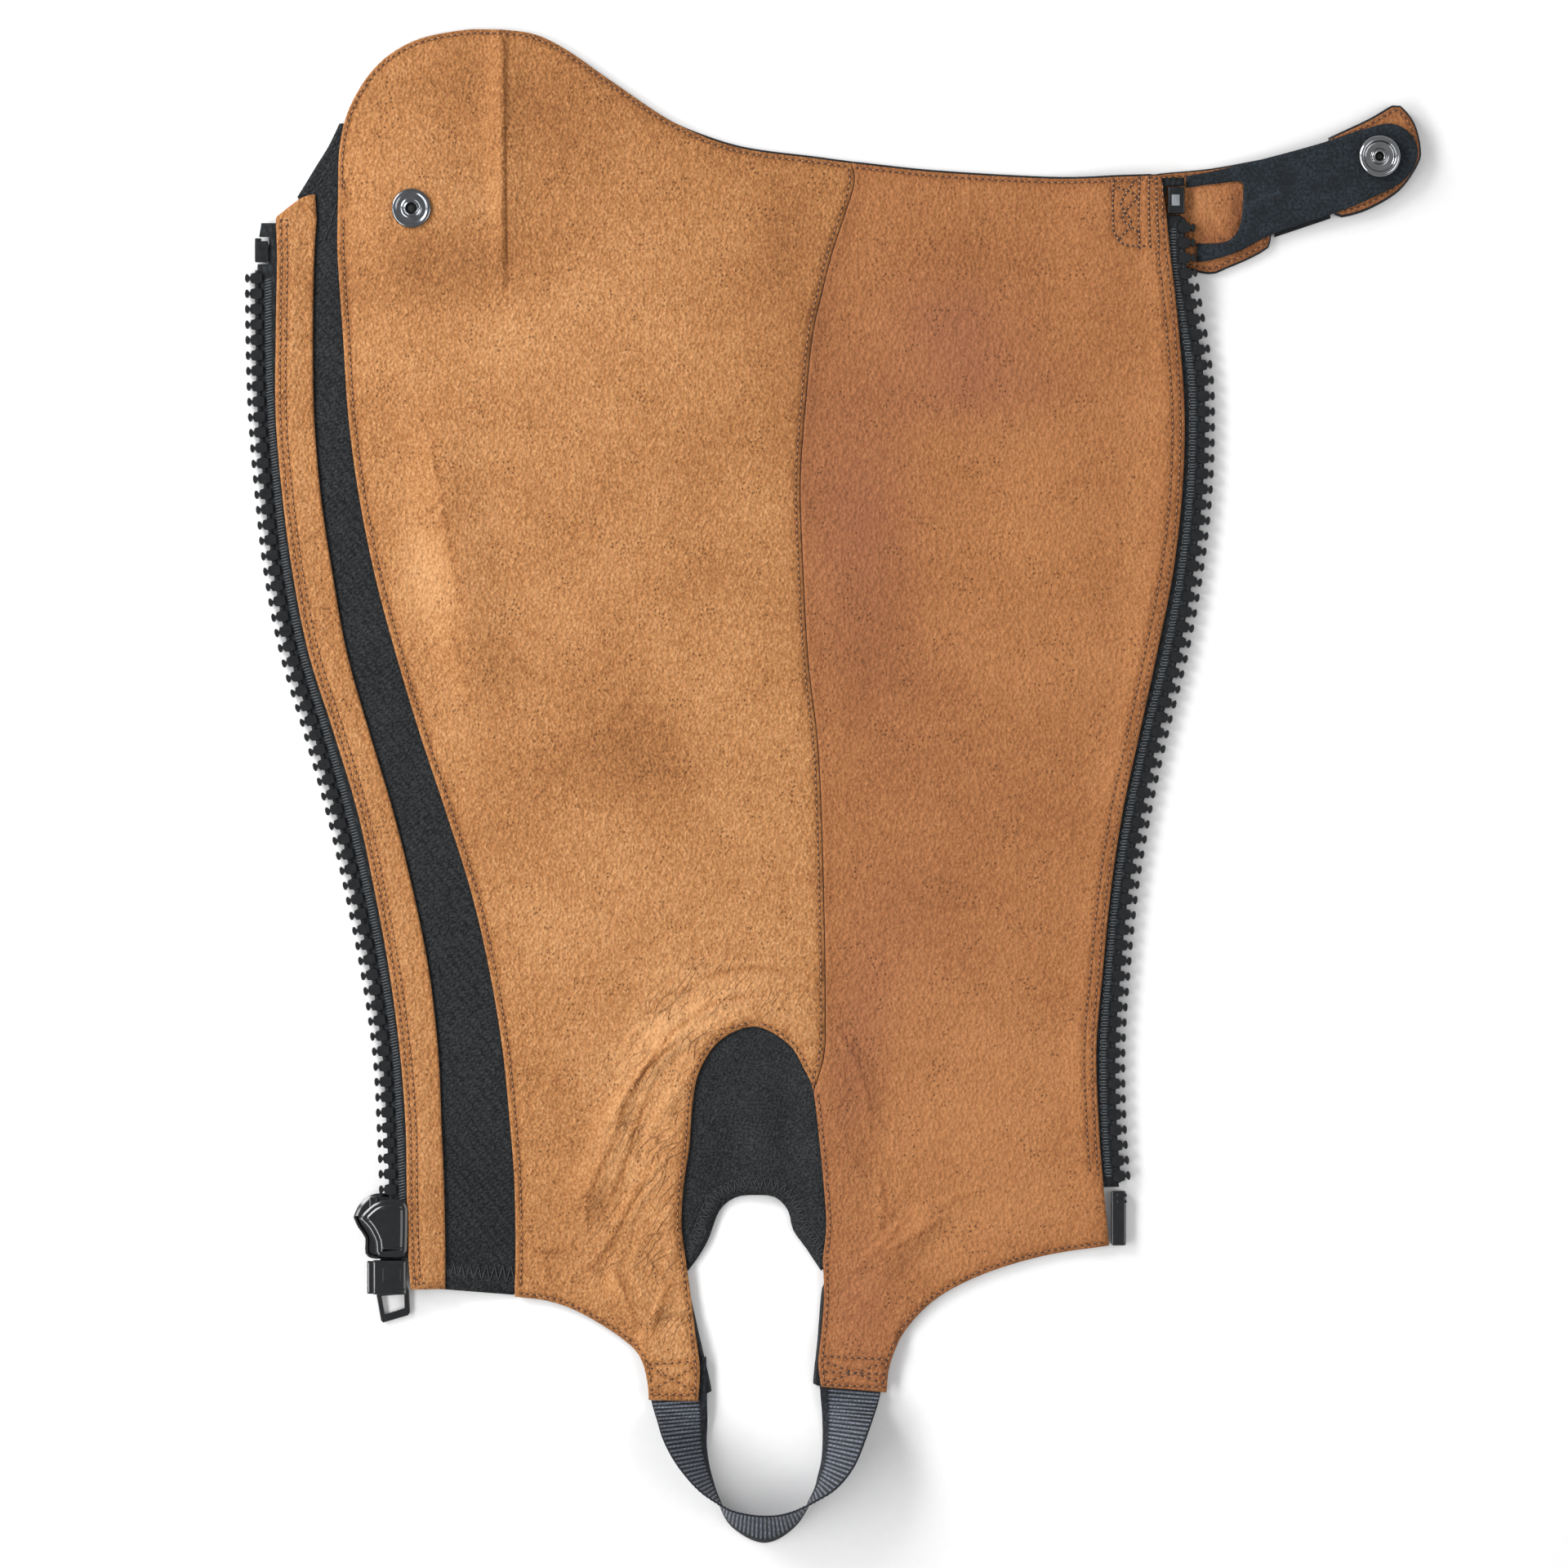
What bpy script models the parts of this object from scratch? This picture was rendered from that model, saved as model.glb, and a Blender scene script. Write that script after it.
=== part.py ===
"""One riding half chap, unzipped and laid open on its outer side, with the lining up.

Lengths below are millimetres. X runs across the chap, +Y towards the knee, +Z up from the
surface that it lies on. The origin is under the middle of its outline. Every sheet is cut
from one shared net of triangles, so that layers which lie on each other never cross.
"""

import math

import bmesh
import bpy
from mathutils import Vector
from mathutils.geometry import delaunay_2d_cdt

MM = 0.001
GAP = 0.3

# Cloth and leather, with the height at which each layer lies on flat ground
SHELL_THICK = 1.2
LINING_THICK = 1.0
STRETCH_THICK = 1.2
TAPE_THICK = 0.6
OVERLAY_THICK = 1.0
ELASTIC_THICK = 2.1
STRAP_THICK = 1.4
LINING_LEVEL = SHELL_THICK + GAP
TAPE_LEVEL = SHELL_THICK + GAP
OVER_TAPE = TAPE_THICK + GAP
OVERLAY_LEVEL = LINING_LEVEL + LINING_THICK + GAP

# Widths that are hidden in the seams
SEAM_TURNING = 5.0
FACING_TURNING = 3.0
TAPE_TURNING = 5.5
SHELL_INSET = 0.5

# Zip
TEETH_REACH = 4.6
TEETH_THICK = 2.6
CHAIN_LEVEL = TAPE_LEVEL + TAPE_THICK / 2 - TEETH_THICK / 2
CHAIN_TOP_LEFT = 194.5
CHAIN_TOP_RIGHT = 215.5
CHAIN_END_LEFT = -178.5
CHAIN_END_RIGHT = -150.5
TAPE_END_LEFT = -179.2
TAPE_END_RIGHT = -152.6

# The slider rests on its bail and lifts the corner of the chap
SLIDER_LIFT = 4.6
SLIDER_X = -172.2
SLIDER_Y = -167.0
SLIDER_SIZE = (20.4, 24.4)
SLIDER_PLATE = 1.3
PLATE_CLEARANCE = 0.3
BOX_SIZE = (14.6, 12.8, 4.4)
BOX_PLACE = (-169.6, -186.4)
PULL_AXIS = (-169.5, -162.2, 2.2)
PULL_LENGTH = 42.0
PULL_THICK = 1.2
PULL_TILT = math.radians(2.1)
PULL_SKEW = math.radians(3.5)

# Stops above the chains and the pin that enters the box: middle and size
STOP_LEFT = (-217.5, 203.0)
STOP_LEFT_SIZE = (5.0, 9.4, 2.8)
STOP_RIGHT = (129.7, 221.8)
STOP_RIGHT_SIZE = (6.2, 10.0, 2.8)
PIN_PLACE = (107.9, -164.0)
PIN_SIZE = (6.4, 21.6, 2.8)

# Snap fasteners
SNAP_FRONT = (-160.3, 218.7)
SNAP_TIP = (206.5, 238.2)
STUD_HEIGHT = 2.7
CAP_HEIGHT = 2.2

# Where pieces that lie on the surface lift the chap: near corner, far corner or radius, run-out
SLIDER_AREA = ((-184.0, -194.0), (-161.0, -153.0))
SLIDER_RUN_OUT = 44.0
STUD_RADIUS = 8.0
STUD_RUN_OUT = 34.0
CAP_RADIUS = 9.0
CAP_RUN_OUT = 38.0
ROOT_AREA = ((104.0, 193.0), (150.0, 237.0))
ROOT_RUN_OUT = 26.0
STRAP_ENDS = (-74.0, 24.0)
STRAP_TOP = -203.0
STRAP_RISE = 9.0
TAPE_REACH = 6.0

# Spacing of the net, finer where the leather is puckered
STEP = 9.0
ARCH_STEP = 7.0
SMALL_STEP = 6.0
STRAP_STEP = 4.5
FOLD_STEP = 12.0
COARSE = 17.0
FINE = 10.0
FINE_BELOW = -72.0
CLEAR_OF_EDGES = 0.42

# Long edges of the zip, the facing and the two panels, from the knee to the ankle
SECTIONS = (
    # height, tape left, facing left, facing right, front left, calf right, tape right
    (215.0, -217.5, -212.0, -196.5, -188.5, 126.0, 137.0),
    (200.0, -219.0, -211.5, -197.5, -188.5, 127.5, 137.0),
    (170.0, -219.0, -212.0, -198.0, -186.5, 131.0, 139.0),
    (140.0, -218.0, -212.0, -197.5, -184.5, 133.0, 140.0),
    (110.0, -215.5, -209.5, -195.0, -180.5, 132.0, 139.0),
    (80.0, -212.0, -205.5, -190.5, -174.5, 128.5, 135.5),
    (50.0, -206.0, -199.5, -185.0, -166.5, 122.5, 130.0),
    (20.0, -197.0, -190.0, -176.5, -157.5, 116.0, 122.5),
    (-10.0, -188.5, -181.0, -167.5, -147.5, 109.5, 116.0),
    (-40.0, -181.5, -174.5, -160.0, -138.0, 105.0, 111.0),
    (-70.0, -175.5, -169.0, -154.0, -131.0, 102.0, 108.0),
    (-100.0, -171.0, -165.0, -150.5, -126.0, 99.5, 106.0),
    (-130.0, -169.0, -162.5, -149.0, -123.0, 100.5, 106.5),
    (-150.0, -168.0, -162.0, -148.0, -121.5, 102.0, 108.0),
    (-174.7, -167.5, -161.5, -147.5, -121.0, 104.3, 109.5),
    (-191.0, -167.0, -160.5, -147.5, -121.3, 104.8, 110.0),
)
TAPE_LEFT, FACING_LEFT, FACING_RIGHT, FRONT_LEFT, CALF_RIGHT, TAPE_RIGHT = range(1, 7)

# Heights between which the long edges are cut
PANEL_TOP = 215.0
PANEL_FOOT = -191.0
CALF_FOOT = -150.0
STRIP_TOP = 213.0
STRIP_FOOT = -190.5
TAPE_TOP = 213.5

# Outline curves, each a list of (across, along) points
DOME = (
    (-188.3, 225.0), (-187.8, 242.0), (-184.0, 257.5), (-174.0, 273.0), (-160.0, 282.5),
    (-143.0, 286.5), (-130.5, 287.0), (-115.0, 285.5), (-102.0, 279.5), (-84.0, 267.0),
    (-60.5, 251.5), (-37.0, 242.3), (-7.0, 238.0), (6.5, 236.2),
)
CALF_TOP = ((6.5, 236.2), (40.0, 232.7), (86.0, 230.2), (110.0, 230.8), (123.8, 231.2))
SEAM = (
    (6.5, 236.2), (7.5, 229.0), (4.0, 217.0), (-1.0, 202.0), (-5.5, 184.0), (-8.5, 170.0),
    (-11.0, 145.0), (-13.0, 115.0), (-12.0, 82.0), (-10.0, 47.0), (-6.5, 17.0), (-5.0, -12.0),
    (-4.0, -48.0), (-3.5, -88.0), (-4.2, -103.0), (-8.0, -116.0),
)
ARCH = (
    (-4.3, -179.5), (-3.0, -167.0), (-4.0, -151.5), (-5.5, -136.0), (-8.0, -116.0),
    (-12.0, -106.5), (-17.5, -98.0), (-30.0, -91.5), (-43.0, -96.5), (-51.0, -108.0),
    (-53.8, -121.0), (-55.0, -137.0), (-57.2, -152.0), (-58.0, -167.0), (-56.5, -179.5),
)
TAB_LEFT_INNER = ((-56.5, -179.5), (-55.0, -190.0), (-52.8, -207.0), (-51.0, -221.0), (-51.6, -233.8))
TAB_LEFT_OUTER = (
    (-70.4, -233.2), (-71.0, -226.0), (-73.5, -217.5), (-80.0, -210.5), (-95.0, -201.0),
    (-108.0, -196.0), (-121.3, -194.2),
)
TAB_RIGHT_INNER = ((-4.3, -179.5), (-3.9, -195.0), (-4.8, -207.0), (-6.0, -219.0), (-5.0, -228.2))
TAB_RIGHT_OUTER = (
    (19.8, -230.4), (21.2, -219.6), (27.0, -207.0), (39.0, -194.8), (57.0, -185.5),
    (80.0, -178.6), (104.3, -174.7),
)
SHELL_TAB_LEFT = ((-59.5, -186.5), (-55.6, -191.0), (-50.8, -211.0), (-46.6, -230.2), (-49.0, -231.5))
SHELL_TAB_RIGHT = ((-1.6, -186.5), (-4.6, -191.0), (-6.4, -211.0), (-8.0, -227.4), (-6.0, -228.2))
GUSSET_EDGE = (
    (-55.5, -184.5), (-51.5, -179.0), (-47.8, -172.5), (-43.5, -161.5), (-37.5, -156.6),
    (-30.0, -155.6), (-22.5, -156.4), (-17.6, -161.5), (-15.6, -169.0), (-11.0, -175.5),
    (-5.0, -184.5),
)

# The front shell goes round the arch as far as these, and the calf shell from there on
SEAM_TOP_OF_ARCH = -108.5
RIGHT_FOOT_OF_ARCH = -6.5

NOTCH_LEFT = ((-219.0, 197.9), (-214.7, 197.9), (-214.7, 208.2), (-218.4, 208.2), (-217.6, 213.5))
NOTCH_RIGHT = ((132.8, 230.4), (132.9, 227.2), (126.2, 227.2), (126.2, 216.4), (133.8, 216.4))
STRETCH_TOP = ((-204.0, 223.6), (-200.0, 230.0), (-196.2, 236.2), (-192.0, 243.0), (-188.0, 251.5))
FACING_TOP = ((-211.5, 216.0), (-202.0, 223.2), (-197.2, 224.4))

# Closure tab
ROOT_OUTLINE = (
    (106.0, 229.6), (123.5, 232.4), (143.0, 234.3), (165.5, 238.4), (166.6, 222.0),
    (165.8, 206.8), (163.5, 203.2), (156.5, 199.4), (149.3, 196.4), (142.4, 194.2),
    (130.0, 197.5), (117.0, 204.6), (109.5, 205.6), (106.0, 210.0),
)
ROOT_CORNERS = (0, 3)
TIP_OUTLINE = (
    (187.6, 245.8), (202.6, 252.8), (211.8, 258.1), (215.0, 258.0), (220.3, 251.3),
    (222.7, 241.5), (221.5, 235.4), (214.4, 225.5), (202.6, 218.4), (192.7, 215.6),
    (190.0, 216.6), (188.6, 230.0),
)
TIP_CORNERS = (0, 10)
ELASTIC_OUTLINE = ((167.2, 208.2), (188.4, 215.2), (187.2, 243.4), (167.2, 237.8))
OVERLAY_OUTER = (
    (133.6, 231.2), (146.2, 233.6), (180.5, 242.3), (200.4, 248.6), (211.3, 250.8),
    (218.7, 246.6), (221.2, 238.5), (215.9, 229.2), (202.6, 222.1), (190.5, 217.2),
    (166.3, 209.1), (154.2, 202.9), (144.4, 199.8),
)
OVERLAY_WINDOW = (
    (144.4, 205.4), (149.5, 206.4), (153.2, 210.5), (154.8, 217.0), (155.2, 225.0),
    (154.4, 229.0), (145.0, 228.3), (133.6, 226.8),
)

# Folds that stand up from the flat sheet: height, half width, then points along the fold
FOLDS = (
    (1.5, 9.0, ((-125.0, 287.0), (-125.0, 245.0), (-124.0, 196.0))),
    (2.0, 18.0, ((-153.0, 150.0), (-145.0, 100.0), (-138.0, 57.0), (-132.0, 20.0))),
    (2.8, 22.0, (
        (-59.0, -186.0), (-60.0, -165.0), (-58.0, -140.0), (-55.0, -118.0), (-47.0, -100.0), (-31.0, -89.0),
        (-16.0, -94.0), (-6.0, -108.0), (-2.0, -130.0), (0.0, -160.0), (-1.0, -186.0))),
    (1.2, 10.0, ((-50.0, -84.0), (-76.0, -112.0), (-88.0, -142.0), (-104.0, -172.0))),
    (1.6, 9.0, ((12.0, -188.0), (28.0, -174.0), (40.0, -158.0))),
    (1.4, 8.0, ((-64.0, -204.0), (-74.0, -196.0), (-88.0, -188.0))),
)

# Foot strap: the edge that stands on the ground, and the raised edge above it
STRAP_WIDTH = 23.5
STRAP_SECTIONS = (
    # ground edge across, along, raised edge across, along
    (-48.6, -217.0, -69.6, -218.0),
    (-48.3, -231.0, -69.6, -232.7),
    (-48.4, -241.0, -66.6, -241.6),
    (-48.9, -249.7, -62.9, -249.7),
    (-48.1, -257.5, -58.1, -257.1),
    (-46.3, -264.9, -51.3, -264.6),
    (-44.0, -271.5, -44.6, -269.4),
    (-38.5, -281.5, -37.6, -273.2),
    (-26.5, -287.4, -26.5, -275.1),
    (-15.3, -281.5, -17.0, -273.6),
    (-7.9, -269.5, -7.4, -269.1),
    (-5.7, -262.4, 0.8, -264.0),
    (-4.2, -254.7, 7.6, -255.6),
    (-4.1, -242.0, 13.2, -242.3),
    (-5.4, -229.2, 17.5, -231.1),
    (-5.8, -215.0, 17.6, -216.0),
)
STRAP_RUN_OUT = 13.0
TAB_LEFT_END = -233.0
TAB_RIGHT_END = -229.5


def smooth(points, step=STEP):
    """Points along a curve that passes through the given ones, about a step apart."""
    path = [Vector(p) for p in points]
    path = [2 * path[0] - path[1]] + path + [2 * path[-1] - path[-2]]
    curve = []
    for a, b, c, d in zip(path, path[1:], path[2:], path[3:]):
        count = max(1, round((c - b).length / step))
        for i in range(count):
            t = i / count
            bend = (2 * a - 5 * b + 4 * c - d) * t * t + (3 * b - a - 3 * c + d) * t**3
            curve.append((2 * b + (c - a) * t + bend) / 2)
    return curve + [path[-2]]


def shifted(curve, distance):
    """The curve moved sideways, to the right of the way it runs where distance is positive."""
    moved = []
    for i, point in enumerate(curve):
        way = (curve[min(i + 1, len(curve) - 1)] - curve[max(i - 1, 0)]).normalized()
        moved.append(point + Vector((way.y, -way.x)) * distance)
    return moved


def side(column, top, bottom, inset=0.0):
    """One long edge between two heights, downwards, moved across by the inset."""
    rows = [(row[column], row[0]) for row in SECTIONS]
    curve = [p for p in smooth(rows) if bottom + 1 < p.y < top - 1]
    ends = [Vector((across(column, y), y)) for y in (top, bottom)]
    return [p + Vector((inset, 0)) for p in ends[:1] + curve + ends[1:]]


def across(column, height):
    """Where one long edge lies at a height, held at the table's end values."""
    if height >= SECTIONS[0][0]:
        return SECTIONS[0][column]
    for above, below in zip(SECTIONS, SECTIONS[1:]):
        if height >= below[0]:
            share = (above[0] - height) / (above[0] - below[0])
            return above[column] + (below[column] - above[column]) * share
    return SECTIONS[-1][column]


def ease(value):
    """A soft step from 0 to 1."""
    t = min(1.0, max(0.0, value))
    return t * t * (3 - 2 * t)


def outside(point, low, high):
    """How far a point lies outside a rectangle."""
    dx = max(low[0] - point[0], 0, point[0] - high[0])
    dy = max(low[1] - point[1], 0, point[1] - high[1])
    return math.hypot(dx, dy)


def along(point, path):
    """Distance from a point to a path, and how far along it the nearest place is."""
    best = (1e9, 0.0)
    runs = list(zip(path, path[1:]))
    for i, (a, b) in enumerate(runs):
        way = b - a
        t = min(1.0, max(0.0, (Vector(point) - a).dot(way) / way.length_squared))
        best = min(best, ((a + way * t - Vector(point)).length, (i + t) / len(runs)))
    return best


FOLD_PATHS = [(height, width, smooth(points, FOLD_STEP)) for height, width, points in FOLDS]


def ground(x, y):
    """Height of the chap's underside: flat, but for folds and what lies beneath it."""
    from_stud = math.dist((x, y), SNAP_FRONT) - STUD_RADIUS
    from_cap = math.dist((x, y), SNAP_TIP) - CAP_RADIUS
    rise = SLIDER_LIFT * (1 - ease(outside((x, y), *SLIDER_AREA) / SLIDER_RUN_OUT))
    rise += (STUD_HEIGHT + GAP) * (1 - ease(from_stud / STUD_RUN_OUT))
    rise += (CAP_HEIGHT + GAP) * (1 - ease(from_cap / CAP_RUN_OUT))
    for height, width, path in FOLD_PATHS:
        distance, share = along((x, y), path)
        if distance < width:
            fade = ease(share / 0.22) * ease((1 - share) / 0.22)
            rise += height * fade * (1 - ease(distance / width))
    return rise


def calf_ground(x, y):
    """The calf panel's corner lies on the root of the closure tab."""
    root = 1 - ease(outside((x, y), *ROOT_AREA) / ROOT_RUN_OUT)
    return ground(x, y) + OVERLAY_LEVEL * root


def tab_lining(x, y):
    """The linings of both foot tabs are lifted by the strap's sewn ends."""
    over = ease((STRAP_TOP - y) / STRAP_RISE) * (STRAP_THICK + GAP)
    return over if STRAP_ENDS[0] < x < STRAP_ENDS[1] else 0.0


def front_lining_ground(x, y):
    return ground(x, y) + LINING_LEVEL + tab_lining(x, y)


def calf_lining_ground(x, y):
    from_edge = across(CALF_RIGHT, y) - x
    over_tape = OVER_TAPE * (1 - ease((from_edge - TAPE_REACH) / 6))
    return calf_ground(x, y) + LINING_LEVEL + over_tape + tab_lining(x, y)


def facing_ground(x, y):
    from_edge = x - across(FACING_LEFT, y)
    over_tape = OVER_TAPE * (1 - ease((from_edge - TAPE_REACH) / 5))
    return ground(x, y) + LINING_LEVEL + over_tape


def raised(base, height):
    """A ground that lies a fixed height above another."""
    return lambda x, y: base(x, y) + height


def outlines():
    """Each sheet's outline, as one closed ring of points."""
    seam = smooth(SEAM)
    calf_seam = shifted(seam, -GAP)
    dome = smooth(DOME)
    arch = smooth(ARCH, ARCH_STEP)
    foot = min(range(len(arch)), key=lambda i: (arch[i] - seam[-1]).length)
    inner = SEAM_TURNING + GAP
    deep = shifted(arch, inner)
    deep_front = [p for p in deep if p.x < RIGHT_FOOT_OF_ARCH or p.y > SEAM_TOP_OF_ARCH]
    deep_calf = [p for p in deep if p not in deep_front]
    seam_low = [p for p in seam if p.y > SEAM_TOP_OF_ARCH]
    calf_low = [p for p in calf_seam if p.y > SEAM_TOP_OF_ARCH]
    calf_top = smooth(CALF_TOP)
    front_left = side(FRONT_LEFT, PANEL_TOP, PANEL_FOOT)
    bottom_front = smooth(TAB_LEFT_OUTER)
    bottom_calf = smooth(TAB_RIGHT_OUTER)
    shell_left = [p + Vector((inner, 0)) for p in [Vector((-188.4, 252.0))] + front_left]
    notch_left = [Vector(p) for p in NOTCH_LEFT]
    notch_right = [Vector(p) for p in NOTCH_RIGHT]
    rings = {
        "lining_front": dome + seam[1:] + arch[foot + 1:] + smooth(TAB_LEFT_INNER)[1:]
        + bottom_front + front_left[::-1],
        "lining_calf": calf_top + side(CALF_RIGHT, PANEL_TOP, CALF_FOOT) + bottom_calf[::-1]
        + smooth(TAB_RIGHT_INNER)[::-1] + arch[1:foot] + calf_seam[::-1][:-1],
        "shell_front": dome[4:] + seam_low[1:] + deep_front + smooth(SHELL_TAB_LEFT)
        + bottom_front[:-1] + [Vector((-121.3 + inner, -194.9))] + shell_left[::-1],
        "shell_calf": calf_top[:-1] + [Vector((123.0, 231.2))]
        + side(CALF_RIGHT, PANEL_TOP, CALF_FOOT, -SHELL_INSET) + bottom_calf[::-1]
        + smooth(SHELL_TAB_RIGHT)[::-1] + deep_calf + calf_low[::-1][:-1],
        "instep_gusset": shifted(arch, SEAM_TURNING) + smooth(GUSSET_EDGE, SMALL_STEP),
        "stretch_panel": smooth(STRETCH_TOP) + [Vector((-183.4, 251.5))]
        + side(FRONT_LEFT, PANEL_TOP, PANEL_FOOT, SEAM_TURNING) + [Vector((-122.0, -193.6))]
        + side(FACING_RIGHT, PANEL_TOP, PANEL_FOOT, -FACING_TURNING)[::-1],
        "zip_facing": smooth(FACING_TOP) + side(FACING_RIGHT, PANEL_TOP, PANEL_FOOT)
        + side(FACING_LEFT, PANEL_TOP, PANEL_FOOT)[::-1],
        "zip_outer_strip": [Vector((-211.0, 215.4)), Vector((-203.4, 219.5))]
        + side(FACING_RIGHT, STRIP_TOP, STRIP_FOOT, -FACING_TURNING - GAP)
        + side(FACING_LEFT, STRIP_TOP, STRIP_FOOT, SHELL_INSET)[::-1],
        "zip_tape_left": side(FACING_LEFT, TAPE_TOP, TAPE_END_LEFT, TAPE_TURNING)
        + side(TAPE_LEFT, NOTCH_LEFT[0][1] - 1, TAPE_END_LEFT)[::-1] + notch_left,
        "zip_tape_right": notch_right + side(TAPE_RIGHT, PANEL_TOP, TAPE_END_RIGHT)
        + side(CALF_RIGHT, PANEL_TOP, TAPE_END_RIGHT, -TAPE_TURNING)[::-1]
        + [Vector((119.6, 230.2))],
        "zip_chain_left": side(TAPE_LEFT, CHAIN_TOP_LEFT, CHAIN_END_LEFT, -GAP)
        + side(TAPE_LEFT, CHAIN_TOP_LEFT, CHAIN_END_LEFT, -TEETH_REACH)[::-1],
        "zip_chain_right": side(TAPE_RIGHT, CHAIN_TOP_RIGHT - 1, CHAIN_END_RIGHT, TEETH_REACH)
        + side(TAPE_RIGHT, CHAIN_TOP_RIGHT - 1, CHAIN_END_RIGHT, GAP)[::-1],
        "tab_root_shell": closed(ROOT_OUTLINE, ROOT_CORNERS),
        "tab_tip_shell": closed(TIP_OUTLINE, TIP_CORNERS),
        "tab_elastic": [Vector(p) for p in ELASTIC_OUTLINE],
        "tab_overlay": smooth(OVERLAY_OUTER, SMALL_STEP) + smooth(OVERLAY_WINDOW, SMALL_STEP),
    }
    rings["tab_root_lining"] = shifted(rings["tab_root_shell"], 0.7)
    rings["tab_tip_lining"] = shifted(rings["tab_tip_shell"], 0.9)
    return rings


def closed(points, corners):
    """A ring through the points, smooth but for the named corners."""
    count = len(points)
    ring = []
    for start, end in zip(corners, corners[1:] + (corners[0] + count,)):
        run = [points[i % count] for i in range(start, end + 1)]
        ring += smooth(run, SMALL_STEP)[:-1]
    return ring


def within(point, ring):
    """Whether a point lies inside a ring."""
    inside = False
    for a, b in zip(ring, ring[1:] + ring[:1]):
        if (a.y > point.y) != (b.y > point.y):
            if point.x < a.x + (b.x - a.x) * (point.y - a.y) / (b.y - a.y):
                inside = not inside
    return inside


def shared_net(rings):
    """One net of triangles over the whole chap, with every sheet's outline among its lines."""
    points = []
    lines = []
    for ring in rings.values():
        first = len(points)
        points += ring
        lines += [(first + i, first + (i + 1) % len(ring)) for i in range(len(ring))]
    edge_points = list(points)
    for spacing, low, high in ((COARSE, FINE_BELOW, 290.0), (FINE, -240.0, FINE_BELOW)):
        row = 0
        y = high - spacing / 2
        while y > low:
            x = -215.0 + (row % 2) * spacing / 2
            while x < 225.0:
                spot = Vector((x, y))
                if all((spot - p).length > CLEAR_OF_EDGES * spacing for p in edge_points):
                    points.append(spot)
                x += spacing
            y -= spacing * 0.87
            row += 1
    places, _, triangles, *_ = delaunay_2d_cdt(points, lines, [], 0, 1e-4)
    return places, triangles


def material(name, colour, roughness, metallic=0.0):
    made = bpy.data.materials.new(name)
    made.use_nodes = True
    shader = made.node_tree.nodes["Principled BSDF"]
    shader.inputs["Base Color"].default_value = (*colour, 1.0)
    shader.inputs["Roughness"].default_value = roughness
    shader.inputs["Metallic"].default_value = metallic
    made.diffuse_color = (*colour, 1.0)
    return made


def add_object(name, bm, finish, place=(0.0, 0.0, 0.0)):
    """A named object from a mesh whose points are millimetres from its place."""
    bmesh.ops.scale(bm, vec=(MM, MM, MM), verts=bm.verts)
    bmesh.ops.recalc_face_normals(bm, faces=bm.faces)
    mesh = bpy.data.meshes.new(name)
    bm.to_mesh(mesh)
    bm.free()
    mesh.materials.append(finish)
    item = bpy.data.objects.new(name, mesh)
    item.location = Vector(place) * MM
    PARTS.objects.link(item)
    return item


def sheet(name, net, ring, under, thick, finish):
    """A wall of even thickness over the net's triangles inside the ring."""
    places, triangles = net
    low = Vector((min(p.x for p in ring), min(p.y for p in ring)))
    high = Vector((max(p.x for p in ring), max(p.y for p in ring)))
    bm = bmesh.new()
    made = {}
    for triangle in triangles:
        middle = sum((places[i] for i in triangle), Vector((0, 0))) / 3
        if outside(middle, low, high) > 0 or not within(middle, ring):
            continue
        for i in triangle:
            if i not in made:
                x, y = places[i]
                made[i] = bm.verts.new((x, y, under(x, y)))
        bm.faces.new([made[i] for i in triangle])
    grown = bmesh.ops.extrude_face_region(bm, geom=bm.faces[:])
    top = [v for v in grown["geom"] if isinstance(v, bmesh.types.BMVert)]
    bmesh.ops.translate(bm, vec=(0, 0, thick), verts=top)
    return add_object(name, bm, finish)


def block(size, middle):
    """A box with softened edges, as a mesh."""
    bm = bmesh.new()
    bmesh.ops.create_cube(bm, size=1.0)
    bmesh.ops.scale(bm, vec=size, verts=bm.verts)
    bmesh.ops.bevel(bm, geom=bm.edges[:], offset=min(size) * 0.22, segments=1, affect="EDGES")
    bmesh.ops.translate(bm, vec=middle, verts=bm.verts)
    return bm


def plate(ring, thick, level):
    """A flat plate cut to a ring of points, as a mesh."""
    bm = bmesh.new()
    face = bm.faces.new([bm.verts.new((x, y, level)) for x, y in ring])
    grown = bmesh.ops.extrude_face_region(bm, geom=[face])
    top = [v for v in grown["geom"] if isinstance(v, bmesh.types.BMVert)]
    bmesh.ops.translate(bm, vec=(0, 0, thick), verts=top)
    return bm


def boolean(item, other, operation):
    """Joins or cuts an object with a hidden helper, which stays in the cutters' collection."""
    PARTS.objects.unlink(other)
    CUTTERS.objects.link(other)
    other.hide_render = True
    other.display_type = "WIRE"
    change = item.modifiers.new(other.name, "BOOLEAN")
    change.operation = operation
    change.solver = "EXACT"
    change.object = other


def turned(name, profile, middle, finish, steps=32):
    """A round piece from (radius, height) points, listed from the top outwards and down."""
    bm = bmesh.new()
    ring = profile[0] == profile[-1]
    verts = [bm.verts.new((radius, 0, height)) for radius, height in profile[:-1 if ring else None]]
    for a, b in zip(verts, verts[1:] + verts[:1] if ring else verts[1:]):
        bm.edges.new((a, b))
    item = add_object(name, bm, finish, middle)
    screw = item.modifiers.new("turn", "SCREW")
    screw.angle = math.tau
    screw.steps = screw.render_steps = steps
    screw.use_merge_vertices = True
    screw.merge_threshold = 0.00001
    return item


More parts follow.
